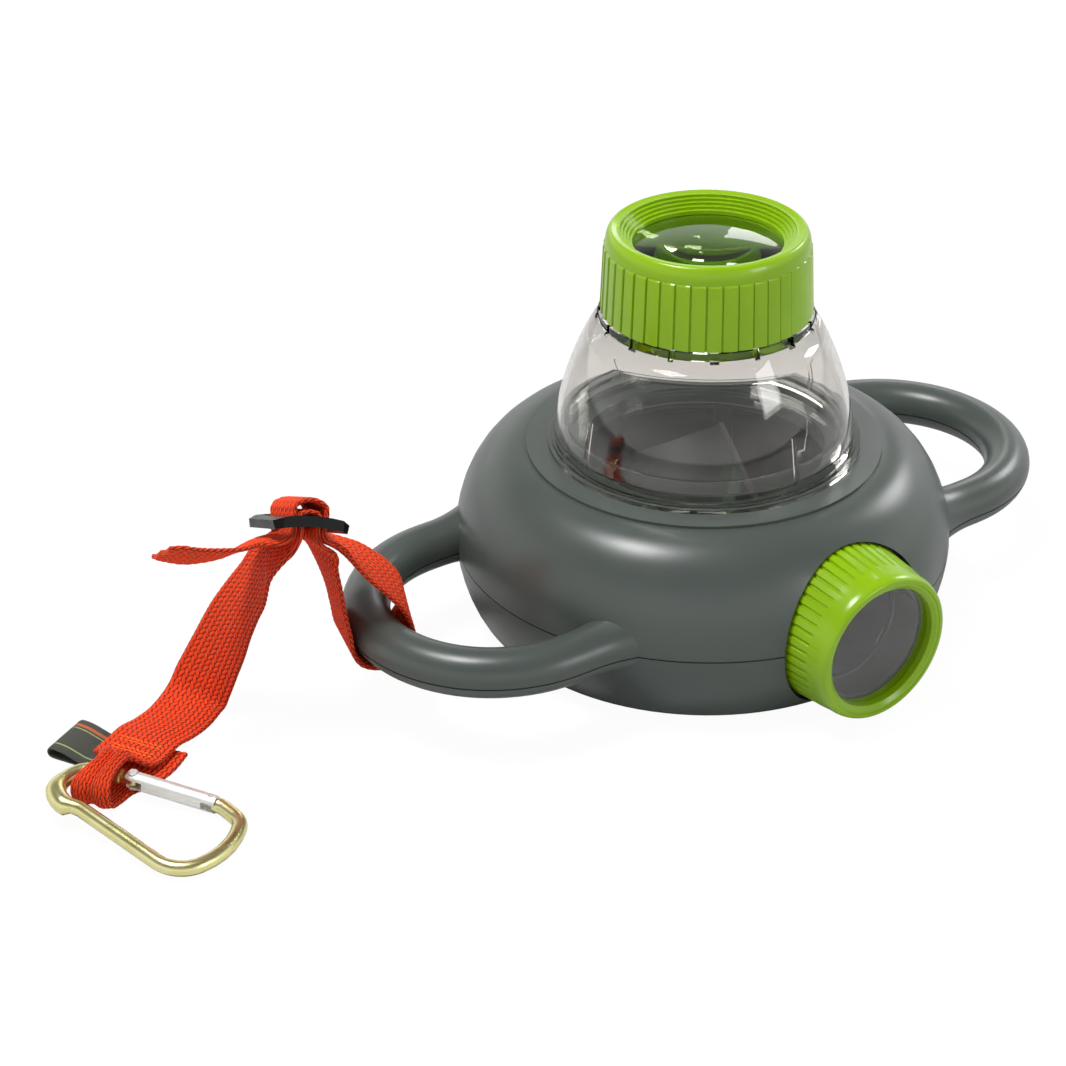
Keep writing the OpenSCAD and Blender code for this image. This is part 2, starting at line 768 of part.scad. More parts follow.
module port_ring() {
    color("#8fc31f") to_port() difference() {
        rotate_extrude() polygon(concat(
            [[ring_base_r, ring_base_s], [ring_mid_r, ring_mid_s], [ring_top_r, ring_top_s]],
            [for (a = quarter(5))
                [ring_top_r - ring_round * (1 - cos(a)) * 0.6,
                 ring_top_s + (port_front_s - ring_top_s) * sin(a)]],
            [[port_open_r + port_glass_t, port_front_s],
             [port_open_r, port_front_s - port_glass_t], [port_open_r, port_seat_s],
             [port_bore_r, port_seat_s], [port_bore_r, bead_s + bead_w + fit_gap],
             [port_bore_r + bead_h + fit_gap, bead_s + bead_w],
             [port_bore_r + bead_h + fit_gap, bead_s], [port_bore_r, bead_s - fit_gap],
             [port_bore_r, ring_base_s]]));
        for (i = [0 : port_flutes - 1]) rotate([0, 0, 360 * i / port_flutes])
            translate([ring_base_r - flute_deep, -flute_w / 2, ring_base_s - over])
                cube([flute_deep + over, flute_w, ring_mid_s - ring_base_s + over]);
    }
}

module port_window() {
    color("#e9f2f4") to_port() translate([0, 0, port_glass_s])
        cylinder(r = port_bore_r - run_gap, h = port_glass_t);
}

module port_keeper() {
    color("#7fae1b") to_port()
        tube(port_bore_r - run_gap, port_open_r, port_glass_s - keeper_t, port_glass_s);
}

// Places along the strap

loop_dir = [cos(strap_turn), sin(strap_turn), 0];
loop_c = [-grip_reach, 0, grip_z] + grip_half_w * loop_dir;
slider_c = loop_c + slider_out * loop_dir + [0, 0, slider_up];

function rot_x(v, a) = [v[0], v[1] * cos(a) - v[2] * sin(a), v[1] * sin(a) + v[2] * cos(a)];
function rot_y(v, a) = [v[0] * cos(a) + v[2] * sin(a), v[1], v[2] * cos(a) - v[0] * sin(a)];
function rot_z(v, a) = [v[0] * cos(a) - v[1] * sin(a), v[0] * sin(a) + v[1] * cos(a), v[2]];

function slider_v(v) = rot_z(rot_y(rot_x(v, slider_roll), slider_lean), strap_turn);
function on_slider(t, n) = slider_c + slider_v([t, 0, n]);
function on_loop(a, z) = loop_c + a * loop_dir + [0, 0, z];
function on_floor_clip(x, y, z) = [clip_x, clip_y, z] + rot_z([x, y, 0], clip_yaw);

// Rows of shares: along the hook's bar, across it, height from first ply to the top of
// the fold, heading of the width, width; all but the height are shares of the webbing
fold_shares = [
    [-0.24, 1.04, 0, 119, 1], [-0.24, 0.66, 0, 120, 1], [-0.28, 0.34, 0, 122, 0.88],
    [-0.34, 0.06, 0, 125, 0.66], [-0.37, -0.22, 0, 125, 0.6],
    [-0.37, -0.43, 0.16, 125, 0.6], [-0.37, -0.504, 0.51, 125, 0.6],
    [-0.36, -0.45, 0.86, 125, 0.56], [-0.345, -0.26, 1, 125, 0.46],
    [-0.335, 0, 1, 125, 0.4], [-0.36, 0.2, 0.9, 124, 0.5],
    [-0.384, 0.4, 0.48, 123, 0.86], [-0.4, 0.6, 0.3, 121, 1],
    [-0.38, 0.88, 0.27, 119, 1], [-0.356, 1.14, 0.25, 119, 1],
    [-0.316, 1.46, 0.08, 119, 1], [-0.27, 1.84, 0, 119, 1]];
fold_top_z = clip_z + clip_bar_r + fold_room + web_t / 2;

// Shares of the way from the floor to the slider: along, aside, height; heading, lean
rise_shares = [
    [0.011, 0.019, 0.044, 117, 0], [0.094, 0.082, 0.133, 112, -3],
    [0.231, 0.104, 0.291, 104, -9], [0.388, 0.068, 0.468, 96, -16],
    [0.568, 0.004, 0.646, 89, -22], [0.732, -0.063, 0.81, 84, -25]];
rise_from = on_floor_clip(-0.22 * web_w, 2.16 * web_w, 0);
rise_way = [slider_c[0] - rise_from[0], slider_c[1] - rise_from[1]];

// Shares of the slider's place over the grip: outward, up; heading, lean
outer_shares = [[0.72, 0.73, 81, -17], [0.61, 0.53, 78, -9], [0.52, 0.3, 75, -2], [0.462, 0.11, 75, 0]];
inner_shares = [[-0.565, 0.043, 70, 0], [-0.513, 0.214, 62, -4], [-0.283, 0.385, 54, -10],
                [0.065, 0.566, 52, -14], [0.457, 0.737, 64, -20]];
wrap_turns = [-22, -60, -107, -155];

// The flat webbing stands off the grip inside its bend, where its edges touch first
function wrap_r(a) = grip_wrap_r + web_w * web_w / (8 * grip_half_w) * (1 - cos(a)) / 2;

// Shares of the free end's length past the slider: outward, up
tail_shares = [[0.3, -0.1, 83, -27], [0.5, -0.14, 83, -27], [0.72, -0.12, 83, -28], [0.95, -0.04, 83, -28]];

pass_1 = slider_bar_t / 2 + web_gap + web_t / 2;
pass_2 = pass_1 + web_t + web_gap;
hump_1 = slider_t / 2 + web_gap + web_t / 2;
hump_2 = hump_1 + web_t + web_gap + web_slack;
slider_head = 83;
slider_dip = -25.7;

function sl(t, n) = concat(on_slider(t, n), [slider_head, slider_dip, 1]);
function lp(s) = concat(on_loop(s[0] * slider_out, s[1] * slider_up), [s[2], s[3], 1]);

strap_rows = concat(
    [for (s = fold_shares) concat(
        on_floor_clip(s[0] * web_w, s[1] * web_w, web_low_z + s[2] * (fold_top_z - web_low_z)),
        [s[3], 0, s[4]])],
    [for (s = rise_shares) [
        rise_from[0] + s[0] * rise_way[0] - s[1] * rise_way[1],
        rise_from[1] + s[0] * rise_way[1] + s[1] * rise_way[0],
        s[2] * slider_c[2], s[3], s[4], 1]],
    [sl(pass_1, -slider_t), sl(pass_1, 0), sl(pass_1 * 0.94, hump_1 * 0.72), sl(0, hump_1),
     sl(-pass_1 * 0.94, hump_1 * 0.72), sl(-pass_1, 0), sl(-pass_1, -slider_t)],
    [for (s = outer_shares) lp(s)],
    [for (a = wrap_turns) concat(on_loop(wrap_r(a) * cos(a), wrap_r(a) * sin(a)), [75, 0, 1])],
    [for (s = inner_shares) lp(s)],
    [sl(-pass_2, -slider_t), sl(-pass_2, 0), sl(-pass_2 * 0.96, hump_2 * 0.72), sl(0, hump_2),
     sl(pass_2 * 0.96, hump_2 * 0.72), sl(pass_2, 0), sl(pass_2 + web_gap, -slider_t)],
    [for (s = tail_shares) concat(
        slider_c + s[0] * tail_len * loop_dir + [0, 0, s[1] * tail_len], [s[2], s[3], 1])]);

// Smooth run through the rows
function spline(p, i, t) = let (
    n = len(p) - 1,
    a = p[max(i - 1, 0)], b = p[i], c = p[min(i + 1, n)], d = p[min(i + 2, n)])
    0.5 * (2 * b + (c - a) * t + (2 * a - 5 * b + 4 * c - d) * t * t
           + (3 * b - a - 3 * c + d) * t * t * t);
function run(p, k) = concat(
    [for (i = [0 : len(p) - 2], j = [0 : k - 1]) spline(p, i, j / k)], [p[len(p) - 1]]);
function unit(v) = v / norm(v);

// Flat band through rows of point, heading, lean and width share
module band(rows, w, t) {
    q = run(rows, web_sub);
    n = len(q);
    at = [for (r = q) [r[0], r[1], r[2]]];
    rings = [for (i = [0 : n - 1]) let (
        way = unit(at[min(i + 1, n - 1)] - at[max(i - 1, 0)]),
        side0 = [cos(q[i][3]) * cos(q[i][4]), sin(q[i][3]) * cos(q[i][4]), sin(q[i][4])],
        side = unit(side0 - (side0 * way) * way),
        up = cross(way, side),
        a = side * w * q[i][5] / 2,
        b = up * t / 2)
        each [at[i] - a - b, at[i] + a - b, at[i] + a + b, at[i] - a + b]];
    faces = concat(
        [[0, 2, 1], [0, 3, 2]],
        [for (i = [0 : n - 2], k = [0 : 3]) let (k2 = (k + 1) % 4) each [
            [4 * i + k, 4 * i + k2, 4 * i + 4 + k2], [4 * i + k, 4 * i + 4 + k2, 4 * i + 4 + k]]],
        [[4 * n - 4, 4 * n - 3, 4 * n - 2], [4 * n - 4, 4 * n - 2, 4 * n - 1]]);
    polyhedron(points = rings, faces = [for (f = faces) [f[2], f[1], f[0]]], convexity = 10);
}

module strap() {
    color("#e2451e") band(strap_rows, web_w, web_t);
}

module slider_place() translate(slider_c) rotate([0, 0, strap_turn])
    rotate([0, slider_lean, 0]) rotate([slider_roll, 0, 0]) children();

module strap_slider() {
    half = slider_len / 2;
    color("#17191a") slider_place() difference() {
        intersection() {
            translate([0, slider_w / 2, 0]) rotate([90, 0, 0]) linear_extrude(slider_w) polygon(concat(
                [for (i = [-4 : 4])
                    [half * i / 4, slider_t / 2 - slider_arch * pow(i / 4, 2)
                                   - (abs(i) == 4 ? slider_edge / 2 : 0)]],
                [for (i = [4 : -1 : -4])
                    [half * i / 4 - sign(i) * (abs(i) == 4 ? slider_edge / 2 : 0),
                     -slider_t / 2 + slider_edge / 2 - slider_arch * pow(i / 4, 2)]]));
            translate([0, 0, -slider_t * 2]) linear_extrude(slider_t * 4) polygon([
                [half, slider_w / 2 - slider_corner], [half - slider_corner, slider_w / 2],
                [slider_corner - half, slider_w / 2], [-half, slider_w / 2 - slider_corner],
                [-half, slider_corner - slider_w / 2], [slider_corner - half, -slider_w / 2],
                [half - slider_corner, -slider_w / 2], [half, slider_corner - slider_w / 2]]);
        }
        for (s = [0, 1]) mirror([s, 0, 0])
            translate([slider_bar_t / 2, -web_w / 2 - web_gap, -slider_t * 2])
                cube([slot_t, web_w + 2 * web_gap, slider_t * 4]);
    }
}

label_y = 0.7 * web_w;
label_x = -0.9 * web_w;
label_rise = 4.6;
label_in = 0.1 * label_w;

// Folded label: two plies that part into a loop at the outer end
module label_tab() {
    z1 = label_t / 2 + web_rest;
    z2 = z1 + label_t + web_rest;
    color("#4b4d44") translate([clip_x, clip_y, 0]) rotate([0, 0, clip_yaw])
        translate([label_x, label_y, 0]) rotate([0, 0, -6.6]) rotate([90, 0, 0])
            translate([0, 0, -label_w / 2]) linear_extrude(label_w)
                difference() {
                    polygon(concat(
                        [[label_in, web_rest]],
                        [for (i = [0 : 10]) let (a = -90 - 18 * i)
                            [-label_len + label_rise / 2 + label_rise / 2 * cos(a),
                             web_rest + label_rise / 2 + label_rise / 2 * sin(a)]],
                        [[-label_len * 0.45, web_rest + label_rise * 0.8],
                         [-label_len * 0.15, z2 + label_t / 2 + web_rest * 4],
                         [label_in, z2 + label_t / 2]]));
                    polygon(concat(
                        [[-label_len * 0.2, web_rest + label_t]],
                        [for (i = [0 : 10]) let (a = -90 - 18 * i)
                            [-label_len + label_rise / 2 + (label_rise / 2 - label_t) * cos(a),
                             web_rest + label_rise / 2 + (label_rise / 2 - label_t) * sin(a)]],
                        [[-label_len * 0.45, web_rest + label_rise * 0.8 - label_t]]));
                }
}

// Snap hook, laid out from the rivet: X along the gate, the spine on -Y

module clip_place() translate([clip_x, clip_y, clip_z]) rotate([0, clip_tilt, clip_yaw]) children();

// Move made by an arc of radius r that starts at heading h and turns by a
function arc_move(h, r, a) = let (s = sign(a)) s * r * [sin(h + a) - sin(h), cos(h) - cos(h + a)];

// Points along an arc that starts at p with heading h, without its first point
function arc_pts(p, h, r, a, n) = [for (i = [1 : n]) p + arc_move(h, r, a * i / n)];

// Round tube through points, one radius each; up0 is square to the way at every point
module wire(points, radii, sides, up0) {
    n = len(points);
    rings = [for (i = [0 : n - 1]) let (
        way = unit(points[min(i + 1, n - 1)] - points[max(i - 1, 0)]),
        side = unit(cross(way, up0)),
        up = cross(side, way))
        for (k = [0 : sides - 1])
            points[i] + radii[i] * (side * cos(360 * (k + 0.5) / sides) + up * sin(360 * (k + 0.5) / sides))];
    faces = concat(
        [for (k = [1 : sides - 2]) [0, k, k + 1]],
        [for (i = [0 : n - 2], k = [0 : sides - 1]) let (k2 = (k + 1) % sides, b = sides * i) each [
            [b + k, b + sides + k2, b + k2], [b + k, b + sides + k, b + sides + k2]]],
        [for (k = [1 : sides - 2]) [sides * n - sides, sides * n - sides + k + 1, sides * n - sides + k]]);
    polyhedron(points = rings, faces = [for (f = faces) [f[2], f[1], f[0]]], convexity = 10);
}

h_spine = -spine_turn;
h_side = h_spine + corner_turn;
h_top = h_side + side_turn;
h_nose = h_top + shoulder_turn;
p_eye = [-eye_bar, 0];
p_neck = p_eye + arc_move(180, eye_r, 180);
p_spine = p_neck + arc_move(0, neck_turn_r, -spine_turn);
rest_move = arc_move(h_spine, corner_r, corner_turn) + arc_move(h_side, side_r, side_turn)
    + arc_move(h_top, shoulder_turn_r, shoulder_turn) + arc_move(h_nose, nose_r, nose_turn);
nose_x = gate_len + fit_gap * 2;
need = [nose_x, 0] - p_spine - rest_move;
spine_len = (need[0] * sin(h_nose) - need[1] * cos(h_nose)) / sin(h_nose - h_spine);
nose_len = (need[1] * cos(h_spine) - need[0] * sin(h_spine)) / sin(h_nose - h_spine);
p_corner = p_spine + spine_len * [cos(h_spine), sin(h_spine)];
p_side = p_corner + arc_move(h_spine, corner_r, corner_turn);
p_top = p_side + arc_move(h_side, side_r, side_turn);
p_nose = p_top + arc_move(h_top, shoulder_turn_r, shoulder_turn);
p_tip = p_nose + nose_len * [cos(h_nose), sin(h_nose)];

// Swelling on the outside of the eye that ends in a step where the spine starts
eye_steps = 20;
heel_first = 9;
heel_last = 18;
function heel_at(i) = i < heel_first || i > heel_last ? 0
    : min(1, (i - heel_first) / 4) * heel_out;
eye_pts = [for (i = [1 : eye_steps]) let (a = 90 + 180 * i / eye_steps, h = heel_at(i))
    [(eye_r + h * 0.6) * cos(a) - eye_bar, (eye_r + h * 0.6) * sin(a) - eye_r, clip_bar_r + h * 0.45]];
function with_r(pts) = [for (p = pts) [p[0], p[1], clip_bar_r]];
bar_rows = concat(
    with_r([[-tongue_back, 0], p_eye]),
    eye_pts,
    with_r(arc_pts(p_neck, 0, neck_turn_r, -spine_turn, 3)),
    with_r([p_corner]),
    with_r(arc_pts(p_corner, h_spine, corner_r, corner_turn, 8)),
    with_r(arc_pts(p_side, h_side, side_r, side_turn, 5)),
    with_r(arc_pts(p_top, h_top, shoulder_turn_r, shoulder_turn, 6)),
    with_r([p_tip]),
    with_r(arc_pts(p_tip, h_nose, nose_r, nose_turn, 3)));

module hook_frame() {
    color("#d8cf8e") clip_place() difference() {
        union() {
            wire([for (p = bar_rows) [p[0], p[1], 0]], [for (p = bar_rows) p[2]], 16, [0, 0, 1]);
            translate([-tongue_back - over, -tongue_half_h, -tongue_t / 2])
                cube([tongue_back + over, 2 * tongue_half_h, tongue_t]);
            translate([0, 0, -tongue_t / 2]) cylinder(r = tongue_half_h, h = tongue_t);
            translate([nose_x - hook_len, -hook_half_h, -hook_t / 2])
                cube([hook_len + over, 2 * hook_half_h, hook_t]);
        }
        cylinder(r = rivet_r + run_gap, h = far, center = true);
        translate([catch_x, 0, 0]) {
            cylinder(r = catch_r + catch_gap, h = far, center = true);
            translate([-catch_r - catch_gap, -hook_half_h - over, -hook_t])
                cube([2 * (catch_r + catch_gap), hook_half_h + over, 2 * hook_t]);
        }
    }
}

module hook_gate() {
    color("#c9ccce") clip_place() difference() {
        union() {
            rotate([0, 90, 0]) cylinder(r = gate_r, h = gate_len);
            intersection() {
                sphere(r = gate_r);
                translate([-gate_r, -gate_r, -gate_r]) cube(2 * gate_r);
            }
        }
        translate([-gate_r - over, -gate_r - over, -tongue_t / 2 - fit_gap])
            cube([gate_r + fork_len + over, 2 * (gate_r + over), tongue_t + 2 * fit_gap]);
        translate([slot_x, -gate_r - over, -hook_t / 2 - fit_gap])
            cube([gate_len, 2 * (gate_r + over), hook_t + 2 * fit_gap]);
        translate([fork_len - over, 0, 0]) rotate([0, 90, 0])
            cylinder(r = spring_bore_r, h = spring_len + plunger_len + over);
        cylinder(r = rivet_r + run_gap, h = far, center = true);
        translate([catch_x, 0, 0]) cylinder(r = catch_r + run_gap, h = far, center = true);
    }
}

module gate_rivet() {
    color("#d9dbdc") clip_place() {
        cylinder(r = rivet_r, h = 2 * gate_r, center = true);
        for (s = [0, 1]) mirror([0, 0, s]) translate([0, 0, gate_r + run_gap])
            cylinder(r1 = rivet_head_r, r2 = rivet_head_r * 0.7, h = rivet_head_t);
        for (s = [0, 1]) mirror([0, 0, s]) translate([0, 0, gate_r - over])
            cylinder(r = rivet_r, h = over + run_gap + rivet_head_t / 2);
    }
}

module gate_catch_pin() {
    half = sqrt(gate_r * gate_r - catch_r * catch_r) - run_gap;
    color("#d9dbdc") clip_place() translate([catch_x, 0, 0])
        cylinder(r = catch_r, h = 2 * half, center = true);
}

spring_from = fork_len + plunger_len + spring_wire_r;

spring_line = [for (i = [0 : spring_turns * 8]) [
    spring_from + (spring_len - 2 * spring_wire_r - run_gap * 2) * i / (spring_turns * 8),
    spring_coil_r * cos(45 * i), spring_coil_r * sin(45 * i)]];

module gate_spring() {
    color("#b4b7b9") clip_place() wire(spring_line, [for (p = spring_line) spring_wire_r], 6, [1, 0, 0]);
}

module gate_plunger() {
    color("#b4b7b9") clip_place() rotate([0, 90, 0]) {
        translate([0, 0, fork_len + run_gap])
            cylinder(r = spring_bore_r - run_gap, h = plunger_len - run_gap);
        translate([0, 0, tongue_half_h + fit_gap])
            cylinder(r = plunger_nose_r, h = fork_len + plunger_len - tongue_half_h - fit_gap);
    }
}

upper_housing();
lower_housing();
housing_screws();
mirror_carrier();
mirror_screws();
mirror_glass();  // mirror
viewing_tube();
specimen_dish();
dome();
lens_lid();
top_lens();
lens_keeper();
port_ring();
port_window();
port_keeper();
strap();
strap_slider();
label_tab();
hook_frame();
hook_gate();
gate_rivet();
gate_catch_pin();
gate_spring();
gate_plunger();
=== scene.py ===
"""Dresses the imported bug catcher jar: materials, woven strap, fluted rings, stage and camera."""

import math

import bmesh
import bpy
import numpy as np
from mathutils import Matrix, Vector


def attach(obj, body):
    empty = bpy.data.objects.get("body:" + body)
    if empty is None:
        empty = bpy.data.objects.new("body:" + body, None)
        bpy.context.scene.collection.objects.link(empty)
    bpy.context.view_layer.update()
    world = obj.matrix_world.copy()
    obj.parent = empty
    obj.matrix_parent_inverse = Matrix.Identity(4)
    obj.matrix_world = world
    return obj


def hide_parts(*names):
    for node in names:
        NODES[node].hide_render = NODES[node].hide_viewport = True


bl_info = {
    "name": "Bug Catcher Jar",
    "version": (1, 0, 0),
    "blender": (4, 5, 0),
    "location": "3D View > Sidebar > Jar",
    "description": "Finishes, webbing and studio for a bug catcher jar with a magnifier lid",
    "category": "Object",
}

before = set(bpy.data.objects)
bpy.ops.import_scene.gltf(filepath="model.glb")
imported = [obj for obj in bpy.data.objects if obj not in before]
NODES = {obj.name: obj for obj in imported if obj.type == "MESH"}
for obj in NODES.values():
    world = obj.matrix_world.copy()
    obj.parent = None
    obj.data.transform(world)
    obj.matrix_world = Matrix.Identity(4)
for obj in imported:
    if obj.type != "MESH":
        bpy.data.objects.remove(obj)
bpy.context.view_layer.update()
MM = 0.001
TURN = 2 * math.pi

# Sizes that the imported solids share, in millimetres
PARTING_Z = 31.0
LID_Z = 121.9
LID_H = 30.0
LID_R = 38.1
LID_BORE = 34.86
LID_GROOVE_R = 35.9
LENS_OPEN = 26.5
LENS_SEAT_R = 28.06
LENS_TOP = 144.9
KEEPER_SEAT_R = 33.2
PORT_FRONT = 103.0
PORT_BACK = 78.8
PORT_BORE = 24.8
PORT_GROOVE_R = 25.6
WINDOW_OPEN = 22.5
WEB_W = 25.0
WEB_T = 1.8
LABEL_W = 19.0
LABEL_T = 0.8

# The snap hook lies turned by this much round a point on the floor under its eye
CLIP_AT = (-231.8, 11.0, 0)
CLIP_YAW = math.radians(-54.7)

# The port's axis is level and runs out of the front of the housing
PORT_TURN = (Matrix.Translation((0, 0, PARTING_Z * MM))
             @ Matrix.Rotation(math.radians(90), 4, "X")
             @ Matrix.Rotation(math.radians(13.4), 4, "Z"))

# How far a yarn float leans along the strap over half its column, in floats, and how
# quickly it falls away to its edges
YARN_LEAN = 0.38
YARN_FALL = 0.85
# The weave of the underside starts this much later, in millimetres, so that the floats of
# both faces don't meet at the edge
UNDERSIDE_SHIFT = 1.2

# Rows of the webbing's middle line: place in millimetres, heading and dip of its width
# in degrees, and the share of its width that is left where it is gathered
STRAP_ROWS = (
    (-214.05, 30.92, 0.95, 119, 0, 1), (-221.80, 25.43, 0.95, 120, 0, 1),
    (-228.91, 21.62, 0.95, 122, 0, 0.88), (-235.49, 18.80, 0.95, 125, 0, 0.66),
    (-241.63, 15.37, 0.95, 125, 0, 0.6), (-245.92, 12.34, 2.81, 125, 0, 0.6),
    (-247.43, 11.27, 6.89, 125, 0, 0.6), (-246.18, 11.84, 10.97, 125, 0, 0.56),
    (-242.09, 14.28, 12.60, 125, 0, 0.46), (-236.64, 17.84, 12.60, 125, 0, 0.4),
    (-232.92, 21.23, 11.44, 124, 0, 0.5), (-229.19, 24.61, 6.54, 123, 0, 0.86),
    (-225.34, 27.83, 4.45, 121, 0, 1), (-219.34, 31.47, 4.10, 119, 0, 1),
    (-213.68, 34.73, 3.86, 119, 0, 1), (-206.58, 38.54, 1.88, 119, 0, 1),
    (-198.16, 43.09, 0.95, 119, 0, 1), (-190.00, 46.98, 3.48, 117, 0, 1),
    (-185.53, 46.61, 10.51, 112, -3, 1), (-180.50, 43.35, 22.99, 104, -9, 1),
    (-176.51, 37.66, 36.97, 96, -16, 1), (-172.59, 30.41, 51.03, 89, -22, 1),
    (-169.26, 23.53, 63.99, 84, -25, 1), (-163.51, 16.95, 76.05, 83, -25.7, 1),
    (-161.92, 18.63, 79.91, 83, -25.7, 1), (-160.83, 19.53, 82.05, 83, -25.7, 1),
    (-157.60, 19.13, 82.05, 83, -25.7, 1), (-155.07, 17.99, 80.34, 83, -25.7, 1),
    (-155.79, 16.99, 78.09, 83, -25.7, 1), (-157.39, 15.31, 74.23, 83, -25.7, 1),
    (-152.63, 16.14, 66.36, 81, -17, 1), (-150.19, 15.49, 57.00, 78, -9, 1),
    (-148.19, 14.95, 46.24, 75, -2, 1), (-146.90, 14.60, 37.35, 75, 0, 1),
    (-145.56, 14.24, 28.47, 75, 0, 1), (-141.63, 13.19, 23.26, 75, 0, 1),
    (-133.53, 11.02, 21.68, 75, 0, 1), (-126.55, 9.15, 27.33, 75, 0, 1),
    (-124.09, 8.49, 34.21, 70, 0, 1), (-125.24, 8.80, 42.22, 62, -4, 1),
    (-130.35, 10.17, 50.22, 54, -10, 1), (-138.08, 12.24, 58.69, 52, -14, 1),
    (-146.79, 14.57, 66.69, 64, -20, 1), (-155.34, 14.77, 73.62, 83, -25.7, 1),
    (-153.75, 16.44, 77.48, 83, -25.7, 1), (-152.00, 18.54, 82.27, 83, -25.7, 1),
    (-156.15, 20.65, 85.56, 83, -25.7, 1), (-161.81, 21.17, 85.18, 83, -25.7, 1),
    (-163.96, 19.18, 80.52, 83, -25.7, 1), (-165.93, 17.60, 76.77, 83, -25.7, 1),
    (-173.34, 21.69, 74.00, 83, -29, 1), (-183.00, 24.28, 72.00, 83, -34, 1),
    (-193.63, 27.12, 73.00, 83, -38, 1), (-200.74, 29.03, 75.60, 83, -38, 1),
    (-204.74, 30.10, 77.00, 83, -36, 0.8),
)

# The bar tack's middle in millimetres, the strap's way and width there, the places of its
# rows along the strap, and the width that a row takes
TACK_AT = Vector((-221.4, 30.1, 5.06))
TACK_WAY = Vector((0.866, 0.498, -0.037))
TACK_SIDE = Vector((-0.485, 0.875, 0))
TACK_ROWS = (-3.4, -1.9, 1.9, 3.4)
TACK_W = 17

# The label's place and turn beside the snap hook, and its fold seen from its edge: along
# the label and up from the floor, in millimetres
LABEL_AT = (-22.5, 17.5, 0)
LABEL_YAW = math.radians(-6.6)
LABEL_ROWS = (
    (1.9, 0.5), (-4, 0.5), (-9, 0.5), (-13.2, 0.52), (-14.9, 0.95), (-15.55, 2.35),
    (-14.9, 3.75), (-13.2, 4.2), (-9.5, 3.85), (-5.2, 2.6), (-2.0, 1.65), (1.9, 1.45),
)

# The camera that the round forms of the housing, lid and port give: its place in metres,
# where it looks, its roll, and its focal length in pixels of a frame that wide
CAMERA_AT = (-0.4933, -0.6191, 0.4948)
CAMERA_AHEAD = Vector((0.4817, 0.7141, -0.508))
CAMERA_RIGHT = Vector((0.829, -0.5592, 0))
CAMERA_ROLL = math.radians(-0.91)
FOCAL_PIXELS = 2452
FRAME_PIXELS = 1066
SENSOR_MM = 36

FLOOR_REACH = 2.5


def linear(text):
    """Linear colour of an sRGB hex value, with alpha 1."""
    out = []
    for i in (1, 3, 5):
        c = int(text[i:i + 2], 16) / 255
        out.append(c / 12.92 if c <= 0.04045 else ((c + 0.055) / 1.055) ** 2.4)
    return (*out, 1.0)


def cleared(block):
    """The node tree of a material or world, emptied."""
    block.use_nodes = True
    block.node_tree.nodes.clear()
    return block.node_tree


def add(tree, kind, settings=None, links=None):
    """A node of that kind, with its settings made and its inputs given a value or a link."""
    node = tree.nodes.new(kind)
    for name, value in (settings or {}).items():
        setattr(node, name, value)
    for name, value in (links or {}).items():
        if isinstance(value, bpy.types.NodeSocket):
            tree.links.new(value, node.inputs[name])
        else:
            node.inputs[name].default_value = value
    return node


def steps_in(tree):
    """A function that adds a maths node to the tree and gives its result."""
    def step(kind, *values):
        return add(tree, "ShaderNodeMath", {"operation": kind}, dict(enumerate(values))).outputs[0]
    return step


def principled(name, settings):
    """A material with one Principled shader, and its tree and shader."""
    made = bpy.data.materials.new(name)
    tree = cleared(made)
    shader = add(tree, "ShaderNodeBsdfPrincipled", links=settings)
    add(tree, "ShaderNodeOutputMaterial", links={"Surface": shader.outputs["BSDF"]})
    return made, tree, shader


def object_noise(tree, size_mm, detail):
    """Noise whose grains are about size_mm wide on the object."""
    place = add(tree, "ShaderNodeTexCoord").outputs["Object"]
    return add(tree, "ShaderNodeTexNoise", links={
        "Vector": place, "Scale": 1 / (size_mm * MM), "Detail": detail}).outputs["Fac"]


def colour_drift(tree, shader, low, high, size_mm):
    """Drives the base colour slowly between two hex values."""
    ramp = add(tree, "ShaderNodeValToRGB", links={"Fac": object_noise(tree, size_mm, 2)})
    ramp.color_ramp.elements[0].position = 0.3
    ramp.color_ramp.elements[0].color = linear(low)
    ramp.color_ramp.elements[1].position = 0.7
    ramp.color_ramp.elements[1].color = linear(high)
    tree.links.new(ramp.outputs["Color"], shader.inputs["Base Color"])


def rough_drift(tree, shader, low, high, size_mm):
    """Drives the roughness between two values in patches."""
    spread = add(tree, "ShaderNodeMapRange", links={
        "Value": object_noise(tree, size_mm, 4), "From Min": 0.3, "From Max": 0.7,
        "To Min": low, "To Max": high})
    tree.links.new(spread.outputs["Result"], shader.inputs["Roughness"])


def fine_bump(tree, shader, height, depth_mm, strength=1.0):
    """Bump of that real depth from a height between 0 and 1."""
    bump = add(tree, "ShaderNodeBump", links={
        "Height": height, "Distance": depth_mm * MM, "Strength": strength})
    tree.links.new(bump.outputs["Normal"], shader.inputs["Normal"])


def let_lamps_through(tree, shader, share):
    """Clear plastic passes most of the light of the lamps to what is behind it."""
    step = steps_in(tree)
    ray = add(tree, "ShaderNodeLightPath").outputs
    lit = step("MAXIMUM", ray["Is Shadow Ray"], ray["Is Diffuse Ray"])
    clear = add(tree, "ShaderNodeBsdfTransparent")
    mix = add(tree, "ShaderNodeMixShader", links={
        0: step("MULTIPLY", lit, share), 1: shader.outputs["BSDF"], 2: clear.outputs["BSDF"]})
    tree.links.new(mix.outputs[0], tree.nodes["Material Output"].inputs["Surface"])


